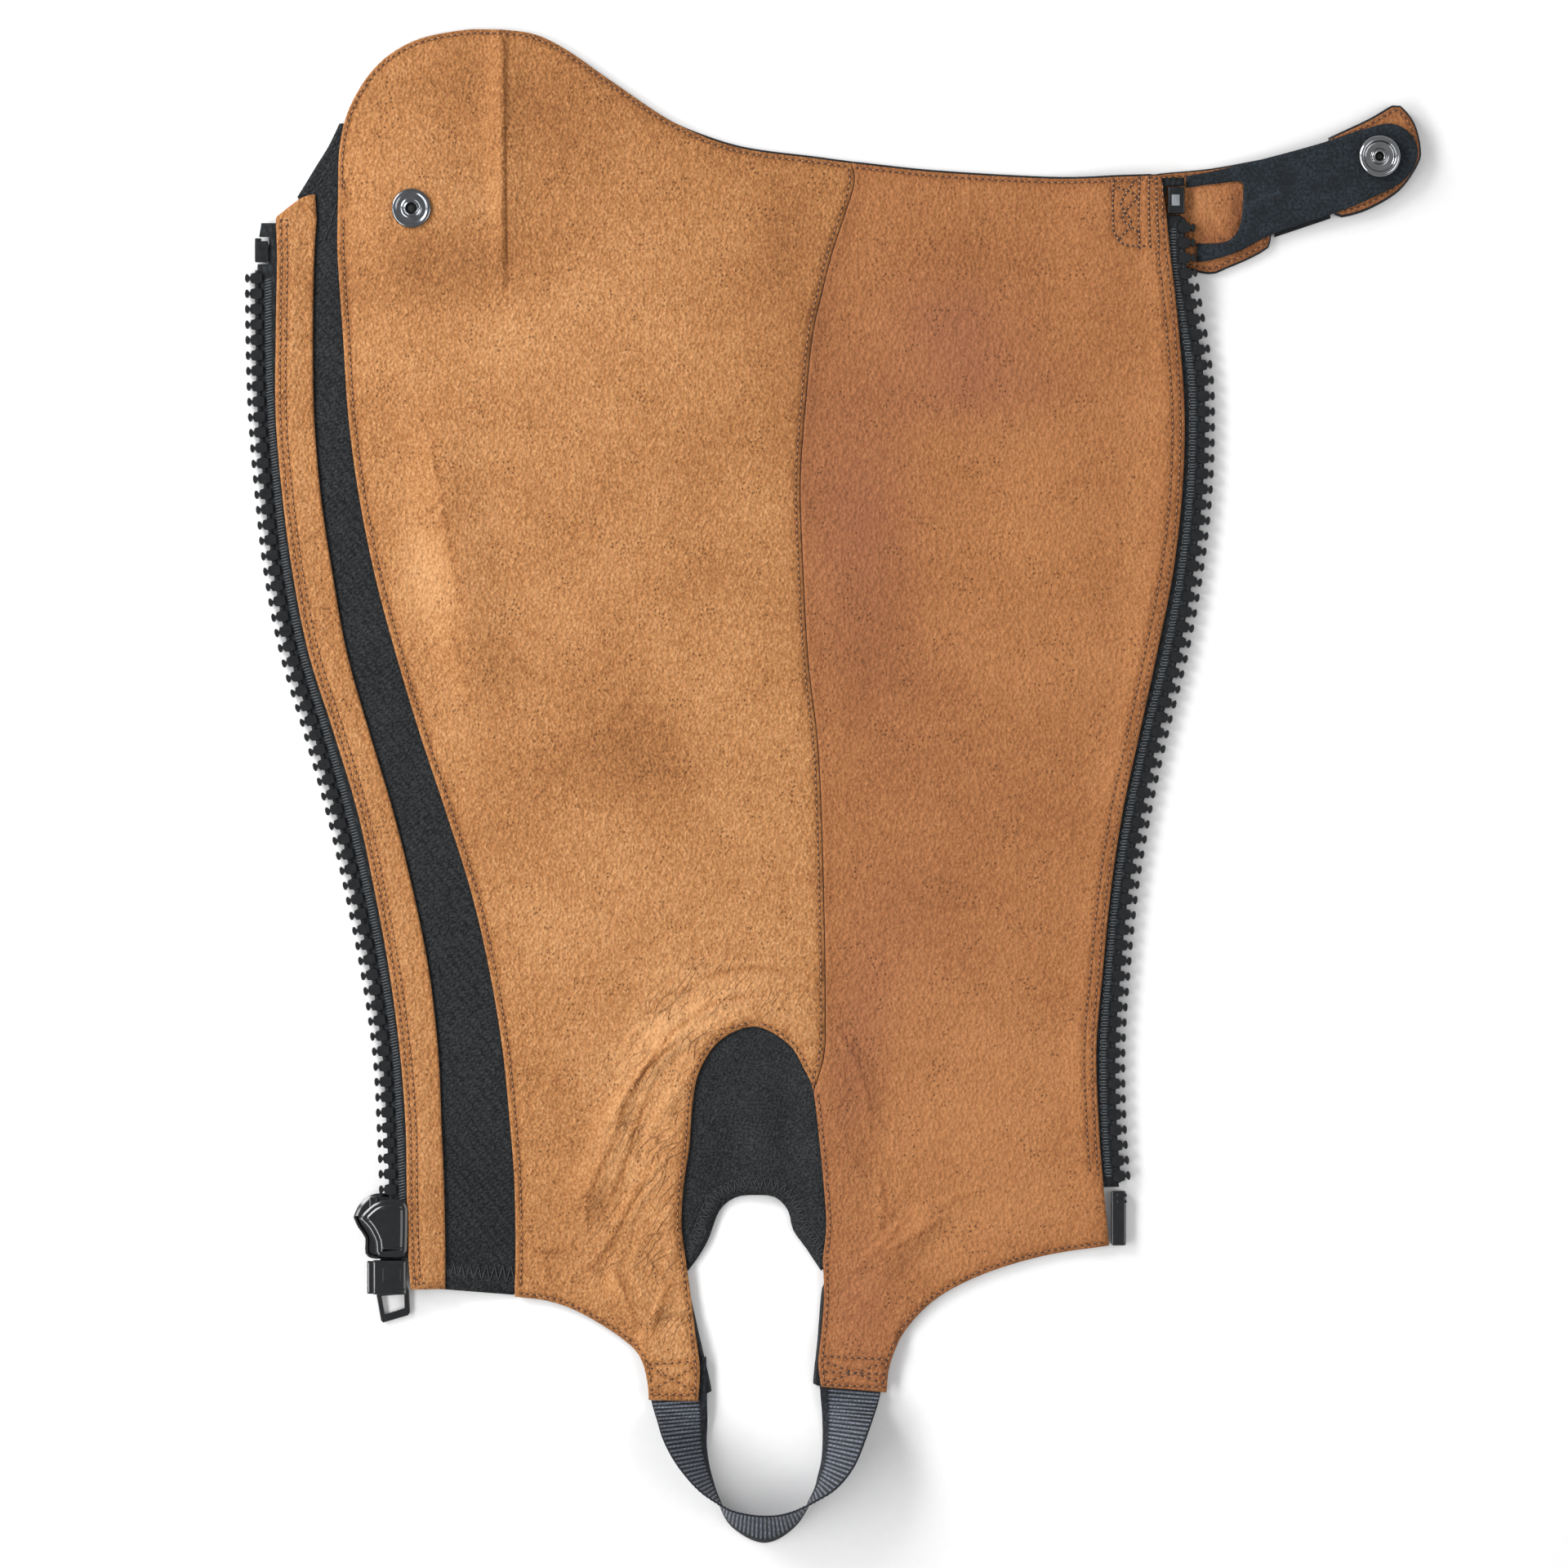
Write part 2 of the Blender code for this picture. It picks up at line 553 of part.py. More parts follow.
def make_sheets(finishes):
    """All the pieces that are cut from cloth, leather, stretch fabric and zip tape."""
    rings = outlines()
    net = shared_net(rings)
    rows = (
        ("shell_front", ground, SHELL_THICK, "black_leather"),
        ("shell_calf", calf_ground, SHELL_THICK, "black_leather"),
        ("lining_front", front_lining_ground, LINING_THICK, "tan_leather"),
        ("lining_calf", calf_lining_ground, LINING_THICK, "tan_leather"),
        ("stretch_panel", ground, STRETCH_THICK, "stretch_fabric"),
        ("instep_gusset", ground, STRETCH_THICK, "stretch_fabric"),
        ("zip_facing", facing_ground, LINING_THICK, "tan_leather"),
        ("zip_outer_strip", ground, SHELL_THICK, "black_leather"),
        ("zip_tape_left", raised(ground, TAPE_LEVEL), TAPE_THICK, "zip_tape"),
        ("zip_tape_right", raised(calf_ground, TAPE_LEVEL), TAPE_THICK, "zip_tape"),
        ("zip_chain_left", raised(ground, CHAIN_LEVEL), TEETH_THICK, "zip_plastic"),
        ("zip_chain_right", raised(calf_ground, CHAIN_LEVEL), TEETH_THICK, "zip_plastic"),
        ("tab_root_shell", ground, SHELL_THICK, "black_leather"),
        ("tab_root_lining", raised(ground, LINING_LEVEL), LINING_THICK, "tan_leather"),
        ("tab_tip_shell", ground, SHELL_THICK, "black_leather"),
        ("tab_tip_lining", raised(ground, LINING_LEVEL), LINING_THICK, "tan_leather"),
        ("tab_elastic", ground, ELASTIC_THICK, "stretch_fabric"),
        ("tab_overlay", raised(ground, OVERLAY_LEVEL), OVERLAY_THICK, "black_leather"),
    )
    for name, under, thick, finish in rows:
        sheet(name, net, rings[name], under, thick, finishes[finish])


def strap_edges():
    """The strap's two edges in space: flat in the tabs, standing on edge, leaning at the toe."""
    rows = smooth(STRAP_SECTIONS, STRAP_STEP)
    edges = []
    for low_x, low_y, high_x, high_y in rows:
        end = TAB_LEFT_END if low_x < -27 else TAB_RIGHT_END
        free = ease((end - low_y) / STRAP_RUN_OUT)
        shown = min(STRAP_WIDTH, math.dist((low_x, low_y), (high_x, high_y)))
        rise = math.sqrt(STRAP_WIDTH**2 - shown**2)
        sewn = ground(low_x, low_y) + LINING_LEVEL + STRAP_THICK / 2
        foot = STRAP_THICK / 2 * shown / STRAP_WIDTH + 0.15
        base = sewn + (foot - sewn) * free
        edges.append((Vector((low_x, low_y, base)), Vector((high_x, high_y, base + rise * free))))
    return edges


def make_strap(finish):
    """The elastic strap that runs under the boot."""
    bm = bmesh.new()
    rows = []
    for low, high in strap_edges():
        rows.append([bm.verts.new(low.lerp(high, share)) for share in (0, 0.5, 1)])
    for a, b in zip(rows, rows[1:]):
        for i in range(2):
            bm.faces.new((a[i], a[i + 1], b[i + 1], b[i]))
    strap = add_object("foot_strap", bm, finish)
    wall = strap.modifiers.new("wall", "SOLIDIFY")
    wall.thickness = STRAP_THICK * MM
    wall.offset = 0.0
    wall.use_even_offset = True


def make_slider(finish):
    """The zip's slider: two plates, the post between them and the bail of the pull."""
    middle = TAPE_LEVEL + TAPE_THICK / 2 + SLIDER_LIFT
    reach = TEETH_THICK / 2 + PLATE_CLEARANCE
    half, length = SLIDER_SIZE[0] / 2, SLIDER_SIZE[1]
    ring = (
        (half - 1.5, -length / 2), (half, -length / 2 + 2), (half, length / 2 - 4),
        (half - 3, length / 2), (-half + 5, length / 2), (-half, length / 2 - 5),
        (-half, 0), (-half + 5, -length / 2 + 2), (-half + 7, -length / 2),
    )
    place = (SLIDER_X, SLIDER_Y, 0.0)
    slider = add_object("zip_slider", plate(ring, SLIDER_PLATE, middle + reach), finish, place)
    bottom = add_object("slider_bottom", plate(ring, SLIDER_PLATE, middle - reach - SLIDER_PLATE),
                        finish, place)
    post = add_object("slider_post", block((3.0, 7.0, 2 * reach + 1.0), (-2.8, 8.0, middle)),
                      finish, place)
    bail_top = middle - reach - SLIDER_PLATE + 0.4
    axis_y = PULL_AXIS[1] - SLIDER_Y
    axis_x = PULL_AXIS[0] - SLIDER_X
    legs = []
    for number, offset in enumerate((2.8, -3.2)):
        leg = block((2.0, 1.8, bail_top), (axis_x, axis_y + offset, bail_top / 2))
        legs.append(add_object(f"bail_leg_{number}", leg, finish, place))
    bar = add_object("bail_bar", block((2.2, 8.2, 1.1), (axis_x, axis_y - 0.2, 0.6)), finish, place)
    for helper in [bottom, post] + legs + [bar]:
        boolean(slider, helper, "UNION")


def make_zip_hardware(finishes):
    """Stops, retaining box, insertion pin and the pull."""
    plastic = finishes["zip_plastic"]
    tape = TAPE_LEVEL + TAPE_THICK / 2
    box_z = tape + SLIDER_LIFT
    add_object("zip_box", block(BOX_SIZE, (*BOX_PLACE, box_z)), plastic)
    left = block(STOP_LEFT_SIZE, (*STOP_LEFT, tape + ground(*STOP_LEFT)))
    add_object("zip_stop_left", left, plastic)
    right = block(STOP_RIGHT_SIZE, (*STOP_RIGHT, tape + calf_ground(*STOP_RIGHT)))
    add_object("zip_stop_right", right, plastic)
    add_object("zip_pin", block(PIN_SIZE, (*PIN_PLACE, tape)), plastic)
    make_pull(plastic)


def make_pull(finish):
    """The pull, a flat loop that hangs from the bail on the outer side of the slider."""
    end = PULL_LENGTH
    ring = (
        (-3.4, 0.55), (3.4, 0.55), (3.8, -7.0), (4.2, -25.0), (6.2, -30.5), (6.0, -end + 3.6),
        (5.2, -end + 2.4), (-4.4, -end + 0.2), (-5.2, -end + 0.8), (-6.4, -30.5), (-4.2, -25.0),
        (-3.8, -7.0),
    )
    low = -PULL_THICK / 2
    pull = add_object("zip_pull", plate(ring, PULL_THICK, low), finish, PULL_AXIS)
    window = block((3.8, 6.6, 4.0), (0, -3.9, 0))
    loop_ring = ((-4.4, -31.6), (4.2, -31.6), (4.0, -end + 5.2), (-3.6, -end + 3.2))
    loop = plate(loop_ring, 4.0, -2.0)
    for name, cutter in (("pull_window", window), ("pull_loop", loop)):
        helper = add_object(name, cutter, finish, PULL_AXIS)
        helper.rotation_euler = (PULL_TILT, 0, PULL_SKEW)
        boolean(pull, helper, "DIFFERENCE")
    pull.rotation_euler = (PULL_TILT, 0, PULL_SKEW)


def make_snaps(finishes):
    """The stud on the front panel and the socket on the tip, each with its back."""
    metal = finishes["gunmetal"]
    dull = finishes["nickel"]
    lining_top = LINING_LEVEL + LINING_THICK + GAP
    front = lining_top + STUD_HEIGHT + GAP
    ring = ((2.1, 0.9), (3.0, 1.2), (6.6, 0.9), (7.5, 0.35), (7.5, 0.0), (2.1, 0.0), (2.1, 0.9))
    turned("snap_stud_back", ring, (*SNAP_FRONT, front), metal)
    stud = ((0.0, 2.7), (5.6, 2.7), (5.8, 1.9), (2.6, 1.7), (1.9, 1.2), (2.4, 0.5), (1.9, 0.0), (0.0, 0.0))
    turned("snap_stud", stud, (*SNAP_FRONT, 0.0), dull, 24)
    tip = OVERLAY_LEVEL + OVERLAY_THICK + GAP + CAP_HEIGHT + GAP
    socket = (
        (1.7, 1.3), (3.0, 1.3), (3.0, 0.6), (5.6, 0.6), (5.9, 2.0), (6.8, 2.3), (7.9, 1.5),
        (7.9, 0.0), (1.7, 0.0), (1.7, 1.3),
    )
    turned("snap_socket", socket, (*SNAP_TIP, tip), dull)
    cap = ((0.0, 2.2), (7.4, 2.2), (7.5, 1.6), (6.0, 0.7), (3.5, 0.15), (0.0, 0.0))
    turned("snap_cap", cap, (*SNAP_TIP, 0.0), metal, 24)


def build():
    finishes = {
        "black_leather": material("black_leather", (0.012, 0.013, 0.016), 0.55),
        "tan_leather": material("tan_leather", (0.56, 0.27, 0.10), 0.75),
        "stretch_fabric": material("stretch_fabric", (0.018, 0.020, 0.024), 0.9),
        "zip_tape": material("zip_tape", (0.010, 0.012, 0.016), 0.85),
        "zip_plastic": material("zip_plastic", (0.008, 0.009, 0.011), 0.3),
        "gunmetal": material("gunmetal", (0.10, 0.11, 0.12), 0.35, 1.0),
        "nickel": material("nickel", (0.20, 0.20, 0.21), 0.3, 1.0),
    }
    make_sheets(finishes)
    make_strap(finishes["stretch_fabric"])
    make_slider(finishes["zip_plastic"])
    make_zip_hardware(finishes)
    make_snaps(finishes)


for old in list(bpy.data.objects):
    bpy.data.objects.remove(old)
PARTS = bpy.data.collections.new("half_chap")
CUTTERS = bpy.data.collections.new("cutters")
bpy.context.scene.collection.children.link(PARTS)
bpy.context.scene.collection.children.link(CUTTERS)
build()
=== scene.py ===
"""The looks of one riding half chap, unzipped and laid open with its tan lining up.

Lengths are millimetres up to the point where a mesh is made. X runs across the chap, +Y towards
the knee and +Z up from the surface that it lies on. The outlines are the same named sizes as in
the solids, read more closely, so that each finished piece lies where its solid lies.
"""

import math

import bmesh
import bpy
import numpy as np
from mathutils import Matrix, Vector, noise
from mathutils.geometry import delaunay_2d_cdt


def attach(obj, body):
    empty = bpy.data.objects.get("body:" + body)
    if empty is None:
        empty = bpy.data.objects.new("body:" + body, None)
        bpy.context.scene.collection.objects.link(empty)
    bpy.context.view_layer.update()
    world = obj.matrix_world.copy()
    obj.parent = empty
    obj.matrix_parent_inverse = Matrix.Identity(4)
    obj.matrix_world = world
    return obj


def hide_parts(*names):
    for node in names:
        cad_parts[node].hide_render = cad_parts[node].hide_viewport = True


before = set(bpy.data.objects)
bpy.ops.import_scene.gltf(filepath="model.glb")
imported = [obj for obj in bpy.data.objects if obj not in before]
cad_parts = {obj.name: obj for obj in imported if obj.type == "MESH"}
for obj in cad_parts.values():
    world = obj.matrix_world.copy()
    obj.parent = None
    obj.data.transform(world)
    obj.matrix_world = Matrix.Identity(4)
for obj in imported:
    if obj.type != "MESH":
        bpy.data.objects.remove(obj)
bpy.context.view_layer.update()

MM = 0.001
GAP = 0.3
STEP = 2.4

SHELL_THICK = 1.2
LINING_THICK = 1.0
STRETCH_THICK = 1.2
TAPE_THICK = 0.6
OVERLAY_THICK = 1.0
ELASTIC_THICK = 2.1
STRAP_THICK = 1.4
LINING_LEVEL = SHELL_THICK + GAP
TAPE_LEVEL = SHELL_THICK + GAP
OVER_TAPE = TAPE_THICK + GAP
OVERLAY_LEVEL = LINING_LEVEL + LINING_THICK + GAP

SEAM_TURNING = 5.0
FACING_TURNING = 3.0
TAPE_TURNING = 5.5
SHELL_INSET = 0.5
# How far the black shell shows beyond the lining along the top edge
SHELL_PEEP = 0.9

TEETH_REACH = 4.6
TEETH_THICK = 2.6
TEETH_PITCH = 5.83
CHAIN_TOP_LEFT = 194.5
CHAIN_TOP_RIGHT = 215.5
CHAIN_END_LEFT = -178.5
CHAIN_END_RIGHT = -150.5
TAPE_END_LEFT = -179.2
TAPE_END_RIGHT = -152.6
CORD_RADIUS = 0.95
TICK_PITCH = 1.12

SLIDER_LIFT = 4.6
SLIDER_PLATE = 1.3
PLATE_CLEARANCE = 0.3
PULL_AXIS = (-169.5, -162.2, 2.2)
PULL_LENGTH = 42.0
PULL_THICK = 1.2
PULL_TILT = math.radians(2.1)
PULL_SKEW = math.radians(3.5)

STOP_LEFT = (-217.5, 203.0)
STOP_RIGHT = (129.7, 221.8)
STOP_RIGHT_SIZE = (6.2, 10.0)
STOP_THICK = 2.8
PIN_PLACE = (107.9, -164.0)

SNAP_FRONT = (-160.3, 218.7)
SNAP_TIP = (206.5, 238.2)
STUD_HEIGHT = 2.7
CAP_HEIGHT = 2.2

# What lifts the cloth: the area that it fills, and how far its lift runs out beyond that
SLIDER_AREA = ((-184.0, -194.0), (-161.0, -153.0))
SLIDER_RUN_OUT = 44.0
STUD_RADIUS = 8.0
STUD_RUN_OUT = 34.0
CAP_RADIUS = 9.0
CAP_RUN_OUT = 38.0
ROOT_AREA = ((104.0, 193.0), (150.0, 237.0))
ROOT_RUN_OUT = 26.0
STRAP_ENDS = (-74.0, 24.0)
STRAP_TOP = -203.0
STRAP_RISE = 9.0
TAPE_REACH = 6.0
CALF_TAPE_RUN_OUT = 6.0
FACING_TAPE_RUN_OUT = 5.0

SECTIONS = (
    # height, tape left, facing left, facing right, front left, calf right, tape right
    (215.0, -217.5, -212.0, -196.5, -188.5, 126.0, 137.0),
    (200.0, -219.0, -211.5, -197.5, -188.5, 127.5, 137.0),
    (170.0, -219.0, -212.0, -198.0, -186.5, 131.0, 139.0),
    (140.0, -218.0, -212.0, -197.5, -184.5, 133.0, 140.0),
    (110.0, -215.5, -209.5, -195.0, -180.5, 132.0, 139.0),
    (80.0, -212.0, -205.5, -190.5, -174.5, 128.5, 135.5),
    (50.0, -206.0, -199.5, -185.0, -166.5, 122.5, 130.0),
    (20.0, -197.0, -190.0, -176.5, -157.5, 116.0, 122.5),
    (-10.0, -188.5, -181.0, -167.5, -147.5, 109.5, 116.0),
    (-40.0, -181.5, -174.5, -160.0, -138.0, 105.0, 111.0),
    (-70.0, -175.5, -169.0, -154.0, -131.0, 102.0, 108.0),
    (-100.0, -171.0, -165.0, -150.5, -126.0, 99.5, 106.0),
    (-130.0, -169.0, -162.5, -149.0, -123.0, 100.5, 106.5),
    (-150.0, -168.0, -162.0, -148.0, -121.5, 102.0, 108.0),
    (-174.7, -167.5, -161.5, -147.5, -121.0, 104.3, 109.5),
    (-191.0, -167.0, -160.5, -147.5, -121.3, 104.8, 110.0),
)
TAPE_LEFT, FACING_LEFT, FACING_RIGHT, FRONT_LEFT, CALF_RIGHT, TAPE_RIGHT = range(1, 7)
PANEL_TOP = 215.0
PANEL_FOOT = -191.0
CALF_FOOT = -150.0
STRIP_TOP = 213.0
STRIP_FOOT = -190.5
TAPE_TOP = 213.5

DOME = (
    (-188.3, 225.0), (-187.8, 242.0), (-184.0, 257.5), (-174.0, 273.0), (-160.0, 282.5),
    (-143.0, 286.5), (-130.5, 287.0), (-115.0, 285.5), (-102.0, 279.5), (-84.0, 267.0),
    (-60.5, 251.5), (-37.0, 242.3), (-7.0, 238.0), (6.5, 236.2),
)
CALF_TOP = ((6.5, 236.2), (40.0, 232.7), (86.0, 230.2), (110.0, 230.8), (123.8, 231.2))
SEAM = (
    (6.5, 236.2), (7.5, 229.0), (4.0, 217.0), (-1.0, 202.0), (-5.5, 184.0), (-8.5, 170.0),
    (-11.0, 145.0), (-13.0, 115.0), (-12.0, 82.0), (-10.0, 47.0), (-6.5, 17.0), (-5.0, -12.0),
    (-4.0, -48.0), (-3.5, -88.0), (-4.2, -103.0), (-8.0, -116.0),
)
ARCH = (
    (-4.3, -179.5), (-3.0, -167.0), (-4.0, -151.5), (-5.5, -136.0), (-8.0, -116.0),
    (-12.0, -106.5), (-17.5, -98.0), (-30.0, -91.5), (-43.0, -96.5), (-51.0, -108.0),
    (-53.8, -121.0), (-55.0, -137.0), (-57.2, -152.0), (-58.0, -167.0), (-56.5, -179.5),
)
TAB_LEFT_INNER = ((-56.5, -179.5), (-55.0, -190.0), (-52.8, -207.0), (-51.0, -221.0), (-51.6, -233.8))
TAB_LEFT_OUTER = (
    (-70.4, -233.2), (-71.0, -226.0), (-73.5, -217.5), (-80.0, -210.5), (-95.0, -201.0),
    (-108.0, -196.0), (-121.3, -194.2),
)
TAB_RIGHT_INNER = ((-4.3, -179.5), (-3.9, -195.0), (-4.8, -207.0), (-6.0, -219.0), (-5.0, -228.2))
TAB_RIGHT_OUTER = (
    (19.8, -230.4), (21.2, -219.6), (27.0, -207.0), (39.0, -194.8), (57.0, -185.5),
    (80.0, -178.6), (104.3, -174.7),
)
SHELL_TAB_LEFT = ((-59.5, -186.5), (-55.6, -191.0), (-50.8, -211.0), (-46.6, -230.2), (-49.0, -231.5))
SHELL_TAB_RIGHT = ((-1.6, -186.5), (-4.6, -191.0), (-6.4, -211.0), (-8.0, -227.4), (-6.0, -228.2))
GUSSET_EDGE = (
    (-55.5, -184.5), (-51.5, -179.0), (-47.8, -172.5), (-43.5, -161.5), (-37.5, -156.6),
    (-30.0, -155.6), (-22.5, -156.4), (-17.6, -161.5), (-15.6, -169.0), (-11.0, -175.5),
    (-5.0, -184.5),
)
SEAM_TOP_OF_ARCH = -108.5
RIGHT_FOOT_OF_ARCH = -6.5
NOTCH_LEFT = ((-219.0, 197.9), (-214.7, 197.9), (-214.7, 208.2), (-218.4, 208.2), (-217.6, 213.5))
NOTCH_RIGHT = ((132.8, 230.4), (132.9, 227.2), (126.2, 227.2), (126.2, 216.4), (133.8, 216.4))
STRETCH_TOP = ((-204.0, 223.6), (-200.0, 230.0), (-196.2, 236.2), (-192.0, 243.0), (-188.0, 251.5))
FACING_TOP = ((-211.5, 216.0), (-202.0, 223.2), (-197.2, 224.4))
OUTER_STRIP_TOP = ((-211.0, 215.4), (-203.4, 219.5))
SHELL_TOP_LEFT = (-188.4, 252.0)
SHELL_TOP_RIGHT = (123.0, 231.6)
SHELL_FOOT_LEFT = (-121.3, -194.9)
STRETCH_TOP_RIGHT = (-183.4, 251.5)
STRETCH_FOOT_RIGHT = (-122.0, -193.6)
TAPE_TOP_CORNER = (119.6, 230.2)
# The front panel's dart, from the dome down
DART = ((-125.2, 286.6), (-124.9, 250.0), (-124.5, 205.0), (-124.3, 190.0))
DART_HEIGHT = 0.9
DART_WIDTH = 7.0
GUSSET_BOW = ((-31.0, -108.0), (-27.0, -130.0), (-26.0, -156.0))
GUSSET_BOW_HEIGHT = 1.3
GUSSET_BOW_WIDTH = 12.0
GUSSET_VALLEY = ((-17.0, -112.0), (-14.0, -140.0), (-13.0, -170.0))
GUSSET_VALLEY_DEPTH = 0.7

ROOT_OUTLINE = (
    (106.0, 229.6), (123.5, 232.4), (143.0, 234.3), (165.5, 238.4), (166.6, 222.0),
    (165.8, 206.8), (163.5, 203.2), (156.5, 199.4), (149.3, 196.4), (142.4, 194.2),
    (130.0, 197.5), (117.0, 204.6), (109.5, 205.6), (106.0, 210.0),
)
ROOT_CORNERS = (0, 3)
TIP_OUTLINE = (
    (187.6, 245.8), (202.6, 252.8), (211.8, 258.1), (215.0, 258.0), (220.3, 251.3),
    (222.7, 241.5), (221.5, 235.4), (214.4, 225.5), (202.6, 218.4), (192.7, 215.6),
    (190.0, 216.6), (188.6, 230.0),
)
TIP_CORNERS = (0, 10)
ELASTIC_OUTLINE = ((167.2, 208.2), (188.4, 215.2), (187.2, 243.4), (167.2, 237.8))
OVERLAY_OUTER = (
    (133.6, 231.2), (146.2, 233.6), (180.5, 242.3), (200.4, 248.6), (211.3, 250.8),
    (218.7, 246.6), (221.2, 238.5), (215.9, 229.2), (202.6, 222.1), (190.5, 217.2),
    (166.3, 209.1), (154.2, 202.9), (144.4, 199.6), (137.6, 198.4),
)
OVERLAY_WINDOW = (
    (137.6, 205.6), (144.4, 205.6), (149.5, 206.6), (153.2, 210.5), (154.8, 217.0), (155.2, 225.0),
    (154.4, 229.0), (145.0, 228.3), (133.6, 226.8),
)

# How much of a fold's length it takes to rise at each end
FOLD_FADE = 0.22
# Large folds that the solids have too: height, half width, then points along the fold
FOLDS = (
    (1.5, 9.0, ((-125.0, 287.0), (-125.0, 245.0), (-124.0, 196.0))),
    (2.0, 18.0, ((-153.0, 150.0), (-145.0, 100.0), (-138.0, 57.0), (-132.0, 20.0))),
    (2.8, 22.0, (
        (-59.0, -186.0), (-60.0, -165.0), (-58.0, -140.0), (-55.0, -118.0), (-47.0, -100.0),
        (-31.0, -89.0), (-16.0, -94.0), (-6.0, -108.0), (-2.0, -130.0), (0.0, -160.0),
        (-1.0, -186.0))),
    (1.2, 10.0, ((-50.0, -84.0), (-76.0, -112.0), (-88.0, -142.0), (-104.0, -172.0))),
    (1.6, 9.0, ((12.0, -188.0), (28.0, -174.0), (40.0, -158.0))),
    (1.4, 8.0, ((-64.0, -204.0), (-74.0, -196.0), (-88.0, -188.0))),
)

# Creases placed one by one: swell of the leather beside it, depth, half width of the swell, points
CREASE_FADE = 0.3
CREASE_CUT_WIDTH = 1.3
CREASE_CUT_SHARE = 0.92
CREASES = (
    (0.9, 0.9, 4.2, ((-20.5, -79.0), (-42.6, -81.7), (-57.3, -90.3), (-67.1, -101.1), (-81.8, -122.9))),
    (1.0, 1.1, 3.6, ((-52.4, -93.0), (-64.6, -101.0), (-74.4, -112.0), (-80.5, -124.0), (-82.5, -138.0))),
    (0.9, 1.0, 3.4, ((-64.6, -110.2), (-70.7, -118.5), (-76.5, -133.5), (-80.5, -148.0), (-87.9, -162.9))),
    (0.8, 0.9, 3.4, ((-79.9, -128.6), (-89.1, -146.2), (-93.3, -160.9), (-92.2, -174.2))),
    (0.8, 0.9, 3.8, ((-66.1, -138.4), (-72.4, -150.4), (-80.8, -166.4), (-89.1, -180.1), (-100.0, -187.4))),
    (0.6, 0.6, 3.0, ((-118.6, -175.6), (-106.3, -177.6), (-95.8, -175.6))),
    (0.6, 0.7, 2.8, ((-110.0, -179.3), (-108.5, -184.0), (-107.5, -189.9))),
    (0.9, 1.0, 3.2, ((-57.5, -185.4), (-62.4, -190.8), (-66.1, -200.0), (-69.5, -209.8))),
    (0.7, 0.8, 2.8, ((-84.0, -181.0), (-80.0, -190.0), (-76.5, -199.0), (-74.0, -208.0))),
    (0.8, 0.9, 4.0, ((-0.6, -84.0), (5.0, -97.6), (11.6, -109.9), (14.1, -123.4), (16.0, -139.3))),
    (0.8, 1.0, 3.6, ((17.5, -146.0), (19.7, -159.7), (17.3, -172.4))),
    (0.9, 1.1, 3.4, ((31.0, -160.1), (21.5, -172.4), (11.2, -182.7), (3.8, -189.3))),
    (0.8, 0.9, 3.4, ((49.2, -161.4), (33.2, -169.9), (22.2, -176.6), (14.3, -184.2))),
    (0.5, 0.6, 3.0, ((29.1, -149.1), (24.4, -158.9), (20.7, -167.9))),
    (0.5, 0.6, 3.2, ((62.0, -152.0), (46.0, -158.0), (36.0, -164.5))),
    (0.5, 0.5, 3.4, ((-57.3, -76.8), (-40.9, -70.6), (-26.6, -69.4), (-12.0, -72.5))),
    (0.5, 0.5, 3.2, ((-74.0, -90.0), (-66.0, -82.0), (-52.0, -75.0))),
    (0.4, 0.4, 3.0, ((-70.0, 45.0), (-78.0, 33.0), (-88.0, 18.0))),
    (0.4, 0.4, 3.0, ((-128.0, 60.0), (-121.0, 48.0), (-112.0, 38.0))),
    (0.5, 0.5, 4.0, ((-157.0, 152.0), (-150.0, 118.0), (-144.0, 84.0), (-137.0, 52.0))),
    (0.4, 0.4, 3.0, ((-150.0, 70.0), (-143.0, 52.0), (-136.0, 30.0))),
)

# Ring of fine puckers round the arch: reach beyond it, height, and where they lie (left, right, top)
PUCKER_REACH = 50.0
PUCKER_FADE = 34.0
PUCKER_HEIGHT = 0.85
PUCKERED = (-118.0, 60.0, -40.0)
ARCH_LENGTH = 190.0
LEFT_SLANT = 0.62
RIGHT_SLANT = 0.35

# How far the right half of the zip leans, and where that begins, is full, fades and ends
LEAN = 4.6
LEAN_RUN = (148.0, 203.0, 213.0, 222.0)
